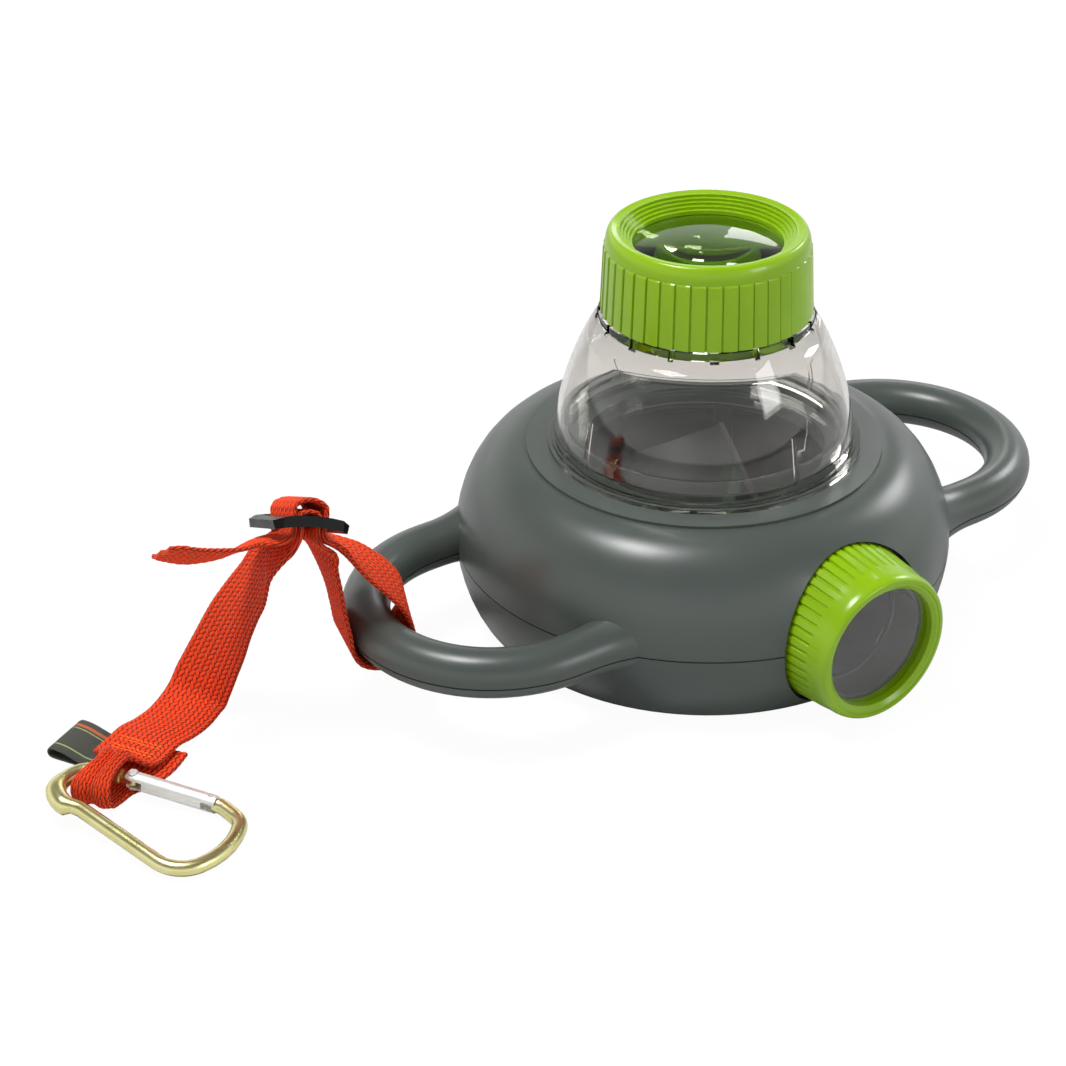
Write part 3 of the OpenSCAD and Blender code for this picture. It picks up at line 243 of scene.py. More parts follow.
def housing_abs():
    """Slate grey ABS, moulded in a fine spark texture: a satin skin with broad soft highlights."""
    made, tree, shader = principled("satin_moulded_abs", {"IOR": 1.53, "Roughness": 0.32})
    colour_drift(tree, shader, "#474e4a", "#4d5450", 60)
    rough_drift(tree, shader, 0.29, 0.35, 18)
    # The real texture is finer than a pixel; 0.7 mm grains are the finest that show
    fine_bump(tree, shader, object_noise(tree, 0.7, 3), 0.006)
    return made


def green_abs():
    """Glossy lime ABS, straight from a polished mould: saturated, with crisp highlights. The
    lid and the port share it."""
    made = bpy.data.materials.get("gloss_lime_abs")
    if made:
        return made
    made, tree, shader = principled("gloss_lime_abs", {
        "IOR": 1.46, "Roughness": 0.22, "Coat Weight": 0.06, "Coat Roughness": 0.08})
    colour_drift(tree, shader, "#86b006", "#8db70b", 25)
    rough_drift(tree, shader, 0.18, 0.27, 9)
    fine_bump(tree, shader, object_noise(tree, 3.5, 2), 0.012)
    return made


def clear_polystyrene(name, tint):
    """Clear injection-moulded polystyrene: bright edges and a faint warm tint in thick parts."""
    made, tree, shader = principled(name, {
        "Base Color": linear(tint), "IOR": 1.5, "Transmission Weight": 1.0, "Roughness": 0.015})
    fine_bump(tree, shader, object_noise(tree, 14, 1), 0.02, 0.5)
    let_lamps_through(tree, shader, 0.9)
    return made


def clear_acrylic(name, tint):
    """Polished cast acrylic: the clearest pieces, with sharp reflections."""
    made, tree, shader = principled(name, {
        "Base Color": linear(tint), "IOR": 1.49, "Transmission Weight": 1.0, "Roughness": 0.0})
    let_lamps_through(tree, shader, 0.92)
    return made


def tube_polystyrene():
    """Grey polystyrene, glossy inside the viewing tube, where it shows the light of the mirror."""
    made, tree, shader = principled("gloss_grey_polystyrene", {"IOR": 1.55, "Roughness": 0.16})
    colour_drift(tree, shader, "#4f4d4b", "#565452", 30)
    rough_drift(tree, shader, 0.06, 0.1, 14)
    fine_bump(tree, shader, object_noise(tree, 6, 1), 0.01)
    return made


def dark_polypropylene():
    """Dark grey polypropylene, satin, for the mirror's bracket."""
    made, tree, shader = principled("dark_grey_polypropylene", {
        "Base Color": linear("#575452"), "IOR": 1.49, "Roughness": 0.42})
    rough_drift(tree, shader, 0.36, 0.48, 6)
    fine_bump(tree, shader, object_noise(tree, 0.8, 3), 0.02)
    return made


def mirror_glass():
    """Silvered float glass: a near perfect mirror with a faint cool cast."""
    return principled("silvered_glass", {
        "Base Color": linear("#e4eaea"), "Metallic": 1.0, "Roughness": 0.03})[0]


def plated_steel():
    """Zinc plated steel screws: cool grey, a little dull and uneven."""
    made, tree, shader = principled("zinc_plated_steel", {"Metallic": 1.0, "Roughness": 0.32})
    colour_drift(tree, shader, "#a9adb0", "#c3c6c6", 3)
    rough_drift(tree, shader, 0.24, 0.42, 1.5)
    return made


def slider_acetal():
    """Black acetal slide: deep black with a satin gloss and slight flow marks."""
    made, tree, shader = principled("black_acetal", {
        "Base Color": linear("#090a0a"), "IOR": 1.48, "Roughness": 0.3,
        "Specular IOR Level": 0.16})
    rough_drift(tree, shader, 0.2, 0.34, 5)
    fine_bump(tree, shader, object_noise(tree, 2.5, 2), 0.01)
    return made


def gold_aluminium():
    """Pale gold anodised aluminium rod: a soft metal sheen with slight waves from bending."""
    made, tree, shader = principled("pale_gold_anodised_aluminium", {
        "Metallic": 1.0, "Roughness": 0.26})
    colour_drift(tree, shader, "#e9e29c", "#f2edb4", 9)
    rough_drift(tree, shader, 0.27, 0.34, 6)
    fine_bump(tree, shader, object_noise(tree, 5, 1), 0.006)
    return made


def satin_aluminium():
    """Satin aluminium gate and rivets: brushed along the gate's length."""
    made, tree, shader = principled("satin_aluminium", {"Metallic": 1.0, "Roughness": 0.52})
    colour_drift(tree, shader, "#f3f4f1", "#fafaf8", 8)
    # Brush lines are finer than a pixel; about 0.4 mm apart and 17 mm long is what shows
    turned = add(tree, "ShaderNodeMapping", links={
        "Vector": add(tree, "ShaderNodeTexCoord").outputs["Object"],
        "Rotation": (0, 0, -CLIP_YAW), "Scale": (60, 2600, 2600)})
    lines = add(tree, "ShaderNodeTexNoise", links={
        "Vector": turned.outputs["Vector"], "Scale": 1.0, "Detail": 2.0}).outputs["Fac"]
    fine_bump(tree, shader, lines, 0.008)
    return made


def webbing_polyester(settings):
    """Orange-red polyester webbing: heavy yarns in slanted floats, each of many fine filaments,
    darkened by painted shade where they dip between floats.
    Its nodes do what weave_height does, where u and v run from -1 to 1 over one float."""
    made, tree, shader = principled("woven_polyester_webbing", {
        "Roughness": 0.72, "Sheen Weight": 0.03, "Sheen Roughness": 0.5, "IOR": 1.38})
    uv = add(tree, "ShaderNodeUVMap", {"uv_map": "cloth"}).outputs["UV"]
    sides = add(tree, "ShaderNodeSeparateXYZ", links={"Vector": uv})
    step = steps_in(tree)
    column = step("DIVIDE", step("ADD", sides.outputs["X"], WEB_W * MM), settings.column)
    u = step("MULTIPLY_ADD", step("FRACT", column), 2.0, -1.0)
    odd = step("MODULO", step("FLOOR", column), 2.0)
    lean = step("MULTIPLY", u, step("MULTIPLY_ADD", odd, -2 * YARN_LEAN, YARN_LEAN))
    row = step("ADD", step("DIVIDE", sides.outputs["Y"], settings.float_len),
               step("MULTIPLY_ADD", odd, 0.5, lean))
    v = step("MULTIPLY_ADD", step("FRACT", row), 2.0, -1.0)
    fall = step("ADD", step("MULTIPLY", u, u), step("MULTIPLY", v, v))
    height = step("SQRT", step("MAXIMUM", step("MULTIPLY_ADD", fall, -YARN_FALL, 1.0), 0.0))
    # Painted shade: the yarn colour darkens to the gap shade colour where the yarns dip between
    # floats, standing in for the shade deep in the weave
    ramp = add(tree, "ShaderNodeValToRGB", links={"Fac": height})
    ramp.color_ramp.elements[0].position = 0.12
    ramp.color_ramp.elements[0].color = linear(settings.gap)
    ramp.color_ramp.elements[1].position = 0.7
    ramp.color_ramp.elements[1].color = linear(settings.yarn)
    tree.links.new(ramp.outputs["Color"], shader.inputs["Base Color"])
    # Filaments are 0.02 mm in the real yarn; 0.25 mm strands are the finest that show
    strands = add(tree, "ShaderNodeTexNoise", links={
        "Vector": add(tree, "ShaderNodeMapping", links={
            "Vector": uv, "Rotation": (0, 0, math.radians(16)),
            "Scale": (4000, 900, 1)}).outputs["Vector"],
        "Scale": 1.0, "Detail": 2.0}).outputs["Fac"]
    fine_bump(tree, shader, step("MULTIPLY_ADD", strands, 0.25, height), 0.42)
    return made


def sewing_thread(settings):
    """Bonded polyester sewing thread: brighter than the webbing, slightly glossy and twisted."""
    made, tree, shader = principled("bonded_sewing_thread", {"Roughness": 0.5, "IOR": 1.45})
    colour_drift(tree, shader, settings.thread, "#ff7a2a", 2)
    fine_bump(tree, shader, object_noise(tree, 0.35, 1), 0.04)
    return made


def label_cloth():
    """Damask woven label: fine dark cloth with a few woven stripes in quiet colours."""
    made, tree, shader = principled("damask_woven_label", {
        "Roughness": 0.75, "Sheen Weight": 0.3, "Sheen Roughness": 0.4})
    uv = add(tree, "ShaderNodeUVMap", {"uv_map": "cloth"}).outputs["UV"]
    sides = add(tree, "ShaderNodeSeparateXYZ", links={"Vector": uv})
    across = add(tree, "ShaderNodeMapRange", links={
        "Value": sides.outputs["X"], "From Min": -LABEL_W / 2 * MM,
        "From Max": LABEL_W / 2 * MM})
    stripes = add(tree, "ShaderNodeValToRGB", links={"Fac": across.outputs["Result"]})
    bands = stripes.color_ramp
    bands.interpolation = "CONSTANT"
    ground, sage, rust = "#3f4239", "#9db26a", "#c4602a"
    places = [(0.0, ground), (0.16, sage), (0.19, ground), (0.72, sage), (0.745, ground),
              (0.79, rust), (0.86, ground)]
    while len(bands.elements) < len(places):
        bands.elements.new(1.0)
    for element, (at, colour) in zip(bands.elements, places):
        element.position = at
        element.color = linear(colour)
    tree.links.new(stripes.outputs["Color"], shader.inputs["Base Color"])
    # Label yarns are 0.15 mm apart; drawn at 0.3 mm so that the cloth shows
    weave = add(tree, "ShaderNodeTexChecker", links={"Vector": uv, "Scale": 1 / (0.3 * MM)})
    fine_bump(tree, shader, weave.outputs["Fac"], 0.06)
    return made


def spring_steel():
    """Stainless spring wire: bright and drawn smooth."""
    return principled("stainless_spring_wire", {
        "Base Color": linear("#b9bcbe"), "Metallic": 1.0, "Roughness": 0.22})[0]


def smooth_shade(mesh, angle):
    """Smooth faces with hard edges where two faces meet at more than the angle."""
    for face in mesh.polygons:
        face.use_smooth = True
    mesh.set_sharp_from_angle(angle=math.radians(angle))


def join_corners(mesh, gap_mm):
    """Joins the corners of loose triangles that lie nearer than gap_mm."""
    work = bmesh.new()
    work.from_mesh(mesh)
    bmesh.ops.remove_doubles(work, verts=work.verts, dist=gap_mm * MM)
    work.to_mesh(mesh)
    work.free()


def face_outwards(mesh):
    """Turns the faces of a closed shape outwards."""
    work = bmesh.new()
    work.from_mesh(mesh)
    bmesh.ops.recalc_face_normals(work, faces=work.faces)
    work.to_mesh(mesh)
    work.free()


def placed(name, mesh, material):
    """A new object in the scene with that mesh and only that material."""
    made = bpy.data.objects.new(name, mesh)
    bpy.context.scene.collection.objects.link(made)
    mesh.materials.clear()
    mesh.materials.append(material)
    return made


def settle(piece, body, slot, *nodes):
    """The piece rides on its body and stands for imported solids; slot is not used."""
    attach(piece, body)
    if nodes:
        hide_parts(*nodes)


def dress(node, name, body, slot, material, angle=32):
    """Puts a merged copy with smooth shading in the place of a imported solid."""
    mesh = NODES[node].data.copy()
    mesh.name = name
    join_corners(mesh, 0.002)
    if "custom_normal" in mesh.attributes:
        mesh.attributes.remove(mesh.attributes["custom_normal"])
    smooth_shade(mesh, angle)
    settle(placed(name, mesh, material), body, slot, node)


def paint(node, material):
    """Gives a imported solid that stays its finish."""
    slots = NODES[node].data.materials
    slots.clear()
    slots.append(material)


def catmull(rows, steps):
    """Smooth run through rows of numbers."""
    rows = np.array(rows, float)
    out = []
    last = len(rows) - 1
    for i in range(last):
        a, b, c, d = rows[max(i - 1, 0)], rows[i], rows[i + 1], rows[min(i + 2, last)]
        for j in range(steps):
            t = j / steps
            out.append(0.5 * (2 * b + (c - a) * t + (2 * a - 5 * b + 4 * c - d) * t * t
                              + (3 * b - a - 3 * c + d) * t ** 3))
    out.append(rows[-1])
    return np.array(out)


def run_length(points):
    """Distance along a run at each of its points."""
    gaps = np.linalg.norm(np.diff(points, axis=0), axis=1)
    return np.concatenate([[0], np.cumsum(gaps)])


def even_run(rows, step):
    """The run again, with rows a fixed distance apart; returns rows and distances."""
    along = run_length(rows[:, :3])
    count = max(2, int(round(along[-1] / step)))
    at = np.linspace(0, along[-1], count + 1)
    return np.stack([np.interp(at, along, rows[:, k]) for k in range(rows.shape[1])], 1), at


def unit_rows(v):
    """Each row of an array as a unit vector."""
    return v / np.linalg.norm(v, axis=1)[:, None]


def ribbon(name, centre, side, at, places, half_w, offsets, material, angle):
    """A closed band round a middle line, in millimetres. places run from -1 to 1 across it and
    offsets(k, face, across) gives the height of each place over the middle line, on face 1
    or -1."""
    way = np.zeros_like(centre)
    way[1:-1] = centre[2:] - centre[:-2]
    way[0], way[-1] = centre[1] - centre[0], centre[-1] - centre[-2]
    way = unit_rows(way)
    side = unit_rows(side - (side * way).sum(1)[:, None] * way)
    up = np.cross(way, side)
    verts, uv = [], []
    for k in range(len(centre)):
        for face in (1, -1):
            across = places if face == 1 else places[::-1]
            lift = offsets(k, face, across)
            verts.extend(centre[k] + side[k] * (across * half_w[k])[:, None]
                         + up[k] * lift[:, None])
            start = at[k] + (0 if face == 1 else UNDERSIDE_SHIFT)
            uv.extend([(x * half_w.max() * MM, start * MM) for x in across])
    ring, count = 2 * len(places), len(centre)
    faces = [(k * ring + j, k * ring + (j + 1) % ring, (k + 1) * ring + (j + 1) % ring,
              (k + 1) * ring + j) for k in range(count - 1) for j in range(ring)]
    faces.append(tuple(range(ring)))
    faces.append(tuple((count - 1) * ring + j for j in range(ring))[::-1])
    mesh = bpy.data.meshes.new(name)
    mesh.from_pydata([tuple(float(c) * MM for c in p) for p in verts], [], faces)
    layer = mesh.uv_layers.new(name="cloth")
    index = np.zeros(len(mesh.loops), int)
    mesh.loops.foreach_get("vertex_index", index)
    layer.data.foreach_set("uv", np.array(uv, float)[index].ravel())
    face_outwards(mesh)
    smooth_shade(mesh, angle)
    return placed(name, mesh, material)


def tree_of(name, inputs):
    """An empty geometry tree with named inputs, and its input and output nodes."""
    tree = bpy.data.node_groups.new(name, "GeometryNodeTree")
    for label, kind, value in inputs:
        socket = tree.interface.new_socket(label, in_out="INPUT", socket_type=kind)
        if value is not None:
            socket.default_value = value
    tree.interface.new_socket("Geometry", in_out="OUTPUT", socket_type="NodeSocketGeometry")
    return tree, tree.nodes.new("NodeGroupInput"), tree.nodes.new("NodeGroupOutput")


def grown(name, tree, values, turn=None):
    """The plain mesh object that a geometry tree makes, with its inputs set to values."""
    made = bpy.data.objects.new(name, bpy.data.meshes.new(name + "_seed"))
    bpy.context.scene.collection.objects.link(made)
    growth = made.modifiers.new(name, "NODES")
    growth.node_group = tree
    for item in tree.interface.items_tree:
        if item.in_out == "INPUT" and item.name in values:
            growth[item.identifier] = values[item.name]
    bpy.context.view_layer.update()
    result = bpy.data.meshes.new_from_object(
        made.evaluated_get(bpy.context.evaluated_depsgraph_get()))
    made.modifiers.remove(growth)
    made.data = result
    result.name = name
    if turn is not None:
        result.transform(turn)
    return made


def ring_tree():
    """Copies one sector round an axis and joins the copies into a closed ring."""
    tree, source, out = tree_of("sectors_round_an_axis", (
        ("Sector", "NodeSocketObject", None), ("Count", "NodeSocketInt", 42),
        ("Join distance", "NodeSocketFloat", 0.000002), ("Finish", "NodeSocketMaterial", None)))
    step = steps_in(tree)
    points = add(tree, "GeometryNodePoints", links={"Count": source.outputs["Count"]})
    shape = add(tree, "GeometryNodeObjectInfo", links={"Object": source.outputs["Sector"]})
    index = add(tree, "GeometryNodeInputIndex").outputs[0]
    angle = step("MULTIPLY", step("DIVIDE", index, source.outputs["Count"]), TURN)
    spin = add(tree, "ShaderNodeCombineXYZ", links={"Z": angle})
    copies = add(tree, "GeometryNodeInstanceOnPoints", links={
        "Points": points.outputs[0], "Instance": shape.outputs["Geometry"],
        "Rotation": spin.outputs[0]})
    real = add(tree, "GeometryNodeRealizeInstances", links={"Geometry": copies.outputs[0]})
    joined = add(tree, "GeometryNodeMergeByDistance", links={
        "Geometry": real.outputs[0], "Distance": source.outputs["Join distance"]})
    painted = add(tree, "GeometryNodeSetMaterial", links={
        "Geometry": joined.outputs[0], "Material": source.outputs["Finish"]})
    tree.links.new(painted.outputs[0], out.inputs[0])
    return tree


def sector(name, outline, count, phases, depth):
    """One of count sectors of a ring. outline is a closed loop of radius, height and how
    much of the flute it takes, and depth gives the flute's depth at each phase."""
    verts = []
    for phase in phases:
        angle = TURN * phase / count
        for radius, height, part in outline:
            r = radius - part * depth(phase)
            verts.append((r * math.cos(angle), r * math.sin(angle), height))
    n = len(outline)
    faces = [(k * n + j, (k + 1) * n + j, (k + 1) * n + (j + 1) % n, k * n + (j + 1) % n)
             for k in range(len(phases) - 1) for j in range(n)]
    mesh = bpy.data.meshes.new(name)
    mesh.from_pydata([tuple(c * MM for c in v) for v in verts], [], faces)
    return bpy.data.objects.new(name, mesh)


def fluted_ring(name, outline, count, phases, depth, material, turn=None):
    """A ring of sectors made by the geometry tree, turned into place."""
    part = sector(name + "_sector", outline, count, phases, depth)
    tree = bpy.data.node_groups.get("sectors_round_an_axis") or ring_tree()
    made = grown(name, tree, {"Sector": part, "Count": count, "Finish": material}, turn)
    face_outwards(made.data)
    smooth_shade(made.data, 30)
    bpy.data.objects.remove(part)
    return made


def plain_ring(name, outline, material, turn=None):
    """A ring of 90 sectors without flutes, from a closed loop of radius and height."""
    return fluted_ring(name, [(r, z, 0) for r, z in outline], 90, (0, 1), lambda phase: 0,
                       material, turn)


def panel_depth(phase):
    """Depth of the lid's flat panels: they slope up to an edge beside a narrow groove."""
    return float(np.interp(phase, (0, 0.05, 0.09, 0.9, 0.96, 1), (0.9, 0.9, 0.5, 0.14, 0.14, 0.9)))


def rib_depth(phase):
    """Depth between the port ring's ribs."""
    return float(np.interp(phase, (0, 0.1, 0.2, 0.8, 0.9, 1), (0.7, 0.7, 0.06, 0.06, 0.7, 0.7)))


def shoulder(radius, inward, height, rise):
    """A quarter of an ellipse from a ring's side in to its rim, which takes no flute."""
    return [(radius - inward * (1 - math.cos(a)), height + rise * math.sin(a), 0)
            for a in np.radians(np.arange(10, 91, 10))]


def lid_outline():
    """The lid's section: panelled side, rolled shoulder, stepped funnel, lens seat and bore."""
    top = LID_Z + LID_H
    outline = [(LID_R, LID_Z, 1), (LID_R - 0.11, LID_Z + 1.5, 1),
               (LID_R - 1.22, LID_Z + 23.1, 1), (LID_R - 1.38, LID_Z + 23.55, 0.8),
               (LID_R - 1.95, LID_Z + 23.9, 0)]
    outline += shoulder(LID_R - 1.9, 2.5, top - 6.4, 6.4)
    for i in range(5):
        r, z = LENS_OPEN + 1.1 * (5 - i), top - 1.1 * i - 0.55
        outline += [(r + 0.12, z + 0.03, 0), (r, z, 0), (r - 0.95, z, 0), (r - 1.08, z - 0.08, 0)]
    outline += [(LENS_OPEN, LENS_TOP + 0.61, 0), (LENS_SEAT_R, LENS_TOP, 0),
                (LENS_SEAT_R, LENS_TOP - 2, 0), (KEEPER_SEAT_R, LENS_TOP - 2, 0),
                (KEEPER_SEAT_R, LENS_TOP - 4.4, 0), (LID_BORE, LENS_TOP - 6.06, 0),
                (LID_BORE, LID_Z + 9.4, 0), (LID_GROOVE_R, LID_Z + 9.4, 0),
                (LID_GROOVE_R, LID_Z + 5.8, 0), (LID_BORE, LID_Z + 5.8, 0), (LID_BORE, LID_Z, 0)]
    return outline


def port_outline():
    """The port ring's section: ribbed side, smooth lip, recess for the window, and bore."""
    front = PORT_FRONT
    outline = [(29.8, PORT_BACK, 1.4), (29.85, 79.4, 1.4), (29.1, 86.5, 1), (28.5, 93, 0.8),
               (28.2, 94.6, 0), (27.8, 98, 0)]
    outline += shoulder(27.8, 1.8, 98, front - 98)
    outline += [(25.1, front, 0), (24.9, front - 0.35, 0), (24.0, front - 0.45, 0),
                (22.6, front - 1.5, 0), (WINDOW_OPEN, front - 1.8, 0),
                (WINDOW_OPEN, front - 4.1, 0), (PORT_BORE, front - 4.1, 0),
                (PORT_BORE, 92.4, 0), (PORT_GROOVE_R, 92.1, 0), (PORT_GROOVE_R, 91.2, 0),
                (PORT_BORE, 90.9, 0), (PORT_BORE, PORT_BACK, 0)]
    return outline


def stitch_tree():
    """Puts one stitch on each marked place, turned by the place's own angles."""
    tree, source, out = tree_of("stitches_on_places", (
        ("Places", "NodeSocketObject", None), ("Stitch", "NodeSocketObject", None),
        ("Thickness", "NodeSocketFloat", 1.0), ("Finish", "NodeSocketMaterial", None)))
    places = add(tree, "GeometryNodeObjectInfo", links={"Object": source.outputs["Places"]})
    shape = add(tree, "GeometryNodeObjectInfo", links={"Object": source.outputs["Stitch"]})
    turn = add(tree, "GeometryNodeInputNamedAttribute", {"data_type": "FLOAT_VECTOR"}, {
        "Name": "turn"})
    size = add(tree, "ShaderNodeCombineXYZ", links={
        "X": 1.0, "Y": source.outputs["Thickness"], "Z": source.outputs["Thickness"]})
    copies = add(tree, "GeometryNodeInstanceOnPoints", links={
        "Points": places.outputs["Geometry"], "Instance": shape.outputs["Geometry"],
        "Rotation": turn.outputs["Attribute"], "Scale": size.outputs[0]})
    real = add(tree, "GeometryNodeRealizeInstances", links={"Geometry": copies.outputs[0]})
    painted = add(tree, "GeometryNodeSetMaterial", links={
        "Geometry": real.outputs[0], "Material": source.outputs["Finish"]})
    tree.links.new(painted.outputs[0], out.inputs[0])
    return tree


def stitch_shape(length, radius):
    """One arched stitch along X, whose ends dive into the cloth."""
    verts, faces, sides = [], [], 8
    for t in (-1, -0.85, -0.5, 0, 0.5, 0.85, 1):
        thick = radius * (1 - 0.6 * t * t)
        for j in range(sides):
            a = TURN * j / sides
            verts.append((length / 2 * t * MM, thick * math.cos(a) * MM,
                          (thick * math.sin(a) - 1.1 * radius * t ** 4) * MM))
    rings = len(verts) // sides
    for k in range(rings - 1):
        faces += [(k * sides + j, k * sides + (j + 1) % sides,
                   (k + 1) * sides + (j + 1) % sides, (k + 1) * sides + j) for j in range(sides)]
    faces += [tuple(range(sides))[::-1], tuple(range((rings - 1) * sides, rings * sides))]
    mesh = bpy.data.meshes.new("stitch")
    mesh.from_pydata(verts, [], faces)
    return bpy.data.objects.new("stitch", mesh)


def bar_tack(settings):
    """Rows of stitches across the strap, where its end is sewn down. Sines keep them from
    lying too evenly."""
    verts, turns = [], []
    pitch = TACK_W / settings.stitches
    lead = math.degrees(math.atan2(TACK_SIDE.y, TACK_SIDE.x))
    for row, place in enumerate(TACK_ROWS):
        for i in range(settings.stitches):
            across = (i - (settings.stitches - 1) / 2) * pitch
            along = place + 0.12 * math.sin(5 * i + row)
            verts.append((TACK_AT + TACK_SIDE * across + TACK_WAY * along) * MM)
            turns.append((0, 0, math.radians(lead + 7 * math.sin(3 * i + 2 * row))))
    mesh = bpy.data.meshes.new("tack_places")
    mesh.from_pydata(verts, [], [])
    mesh.attributes.new("turn", "FLOAT_VECTOR", "POINT").data.foreach_set(
        "vector", [c for turn in turns for c in turn])
    places = bpy.data.objects.new("tack_places", mesh)
    stitch = stitch_shape(pitch * 0.94, 0.34)
    made = grown("bar_tack", stitch_tree(), {
        "Places": places, "Stitch": stitch, "Thickness": 1.0, "Finish": sewing_thread(settings)})
    smooth_shade(made.data, 60)
    for helper in (places, stitch):
        bpy.data.objects.remove(helper)
    return made


def weave_height(across, along, settings):
    """Height of the yarns from 0 to 1, at places across and along in metres. u and v run
    from -1 to 1 over one float."""
    column = across / settings.column
    i = np.floor(column)
    u = (column - i - 0.5) * 2
    odd = np.mod(i, 2)
    row = along / settings.float_len + 0.5 * odd + YARN_LEAN * u * (1 - 2 * odd)
    v = (row - np.floor(row) - 0.5) * 2
    return np.sqrt(np.clip(1 - YARN_FALL * (u * u + v * v), 0, 1))


def photo_camera():
    """A camera at the photograph's place, with its field of view and its slight roll."""
    optics = bpy.data.cameras.new("photo_view")
    optics.sensor_width = SENSOR_MM
    optics.lens = SENSOR_MM * FOCAL_PIXELS / FRAME_PIXELS
    optics.clip_start = 0.05
    optics.clip_end = 20
    right, ahead = CAMERA_RIGHT.normalized(), CAMERA_AHEAD.normalized()
    over = right.cross(ahead).normalized()
    across = right * math.cos(CAMERA_ROLL) + over * math.sin(CAMERA_ROLL)
    upward = over * math.cos(CAMERA_ROLL) - right * math.sin(CAMERA_ROLL)
    camera = bpy.data.objects.new("photo_view", optics)
    camera.matrix_world = (Matrix.Translation(CAMERA_AT)
                           @ Matrix((across, upward, -ahead)).transposed().to_4x4())
    return camera


def white_sweep(colour):
    """Matt white paper sweep: the camera sees it even and white, with the object's shadow."""
    made = bpy.data.materials.new("white_sweep")
    tree = cleared(made)
    matt = add(tree, "ShaderNodeBsdfDiffuse", links={"Color": (0.6, 0.6, 0.6, 1)})
    glow = add(tree, "ShaderNodeEmission", links={"Color": linear(colour), "Strength": 1.06})
    seen = add(tree, "ShaderNodeLightPath").outputs["Is Camera Ray"]
    mix = add(tree, "ShaderNodeMixShader", links={
        0: steps_in(tree)("MULTIPLY", seen, 0.9), 1: matt.outputs[0], 2: glow.outputs[0]})
    add(tree, "ShaderNodeOutputMaterial", links={"Surface": mix.outputs[0]})
    return made


def white_room(dim):
    """A world that lights the object evenly. The camera and gloss see the sweep white up to a
    little over the horizon and a dim room over it, and clear plastic sees a dimmer one."""
    world = bpy.data.worlds.new("white_room")
    tree = cleared(world)
    step = steps_in(tree)
    ray = add(tree, "ShaderNodeLightPath").outputs
    through = ray["Is Transmission Ray"]
    seen = step("MAXIMUM", step("MAXIMUM", ray["Is Camera Ray"], through), ray["Is Glossy Ray"])
    height = add(tree, "ShaderNodeSeparateXYZ", links={
        "Vector": add(tree, "ShaderNodeTexCoord").outputs["Generated"]}).outputs["Z"]
    room, inside = (
        add(tree, "ShaderNodeMapRange", {"interpolation_type": "SMOOTHSTEP"}, {
            "Value": height, "From Min": low, "From Max": high, "To Min": 1.0,
            "To Max": level}).outputs["Result"]
        for low, high, level in ((0.28, 0.62, dim), (0.04, 0.3, dim * 0.3)))
    shown = add(tree, "ShaderNodeMapRange", links={
        "Value": through, "To Min": room, "To Max": inside}).outputs["Result"]
    strength = add(tree, "ShaderNodeMapRange", links={
        "Value": seen, "To Min": 0.5, "To Max": shown}).outputs["Result"]
    back = add(tree, "ShaderNodeBackground", links={"Color": (1, 1, 1, 1), "Strength": strength})
    add(tree, "ShaderNodeOutputWorld", links={"Surface": back.outputs["Background"]})
    return world


def softbox(name, place, target, size, power):
    """A rectangular lamp of that width and height in metres, which faces its target."""
    lamp = bpy.data.lights.new(name, "AREA")
    lamp.shape = "RECTANGLE"
    lamp.size, lamp.size_y = size
    lamp.energy = power
    holder = bpy.data.objects.new(name, lamp)
    holder.location = place
    holder.rotation_euler = (Vector(target) - Vector(place)).to_track_quat("-Z", "Y").to_euler()
    bpy.context.scene.collection.objects.link(holder)


class JarStrapSettings(bpy.types.PropertyGroup):
    """Sizes and colours of the webbing."""

    yarn: bpy.props.StringProperty(
        name="Yarn colour", description="Colour of the webbing's yarns", default="#f4450e")
    gap: bpy.props.StringProperty(
        # Painted shade: the yarns' colour darkened where they dip between floats, standing in for
        # the shade deep in the weave
        name="Gap colour", description="Colour deep between the webbing's yarns",
        default="#7f1704")
    column: bpy.props.FloatProperty(
        name="Yarn column", description="Width of one column of yarn floats",
        default=WEB_W / 12 * MM, subtype="DISTANCE", unit="LENGTH")
    float_len: bpy.props.FloatProperty(
        name="Yarn float", description="Length of one slanted yarn float along the strap",
        default=2.5 * MM, subtype="DISTANCE", unit="LENGTH")
    relief: bpy.props.FloatProperty(
        name="Yarn relief", description="Height of the yarns over the gaps between them",
        default=0.42 * MM, subtype="DISTANCE", unit="LENGTH")
    thread: bpy.props.StringProperty(
        name="Thread colour", description="Colour of the bar tack's thread", default="#f4661c")
    stitches: bpy.props.IntProperty(
        name="Tack stitches", description="Stitches in each row of the bar tack", default=9, min=3)


class JarRingSettings(bpy.types.PropertyGroup):
    """Flutes of the green rings."""

    lid_flutes: bpy.props.IntProperty(
        name="Lid flutes", description="Flat panels round the lens lid", default=42, min=12)
    port_flutes: bpy.props.IntProperty(
        name="Port flutes", description="Ribs round the port ring", default=50, min=12)


class JarStageSettings(bpy.types.PropertyGroup):
    """Floor and light."""

    floor: bpy.props.StringProperty(
        name="Floor colour", description="Colour of the floor", default="#ffffff")
    room: bpy.props.FloatProperty(
        name="Room level", description="Brightness of the dim room overhead that gloss shows",
        default=0.14, min=0)
    key: bpy.props.FloatProperty(
        name="Key light", description="Power of the overhead softbox", default=9.0,
        unit="POWER")
    fill: bpy.props.FloatProperty(
        name="Fill light", description="Power of the right softbox, which the front and window "
        "softboxes take a share of", default=5.0, unit="POWER")


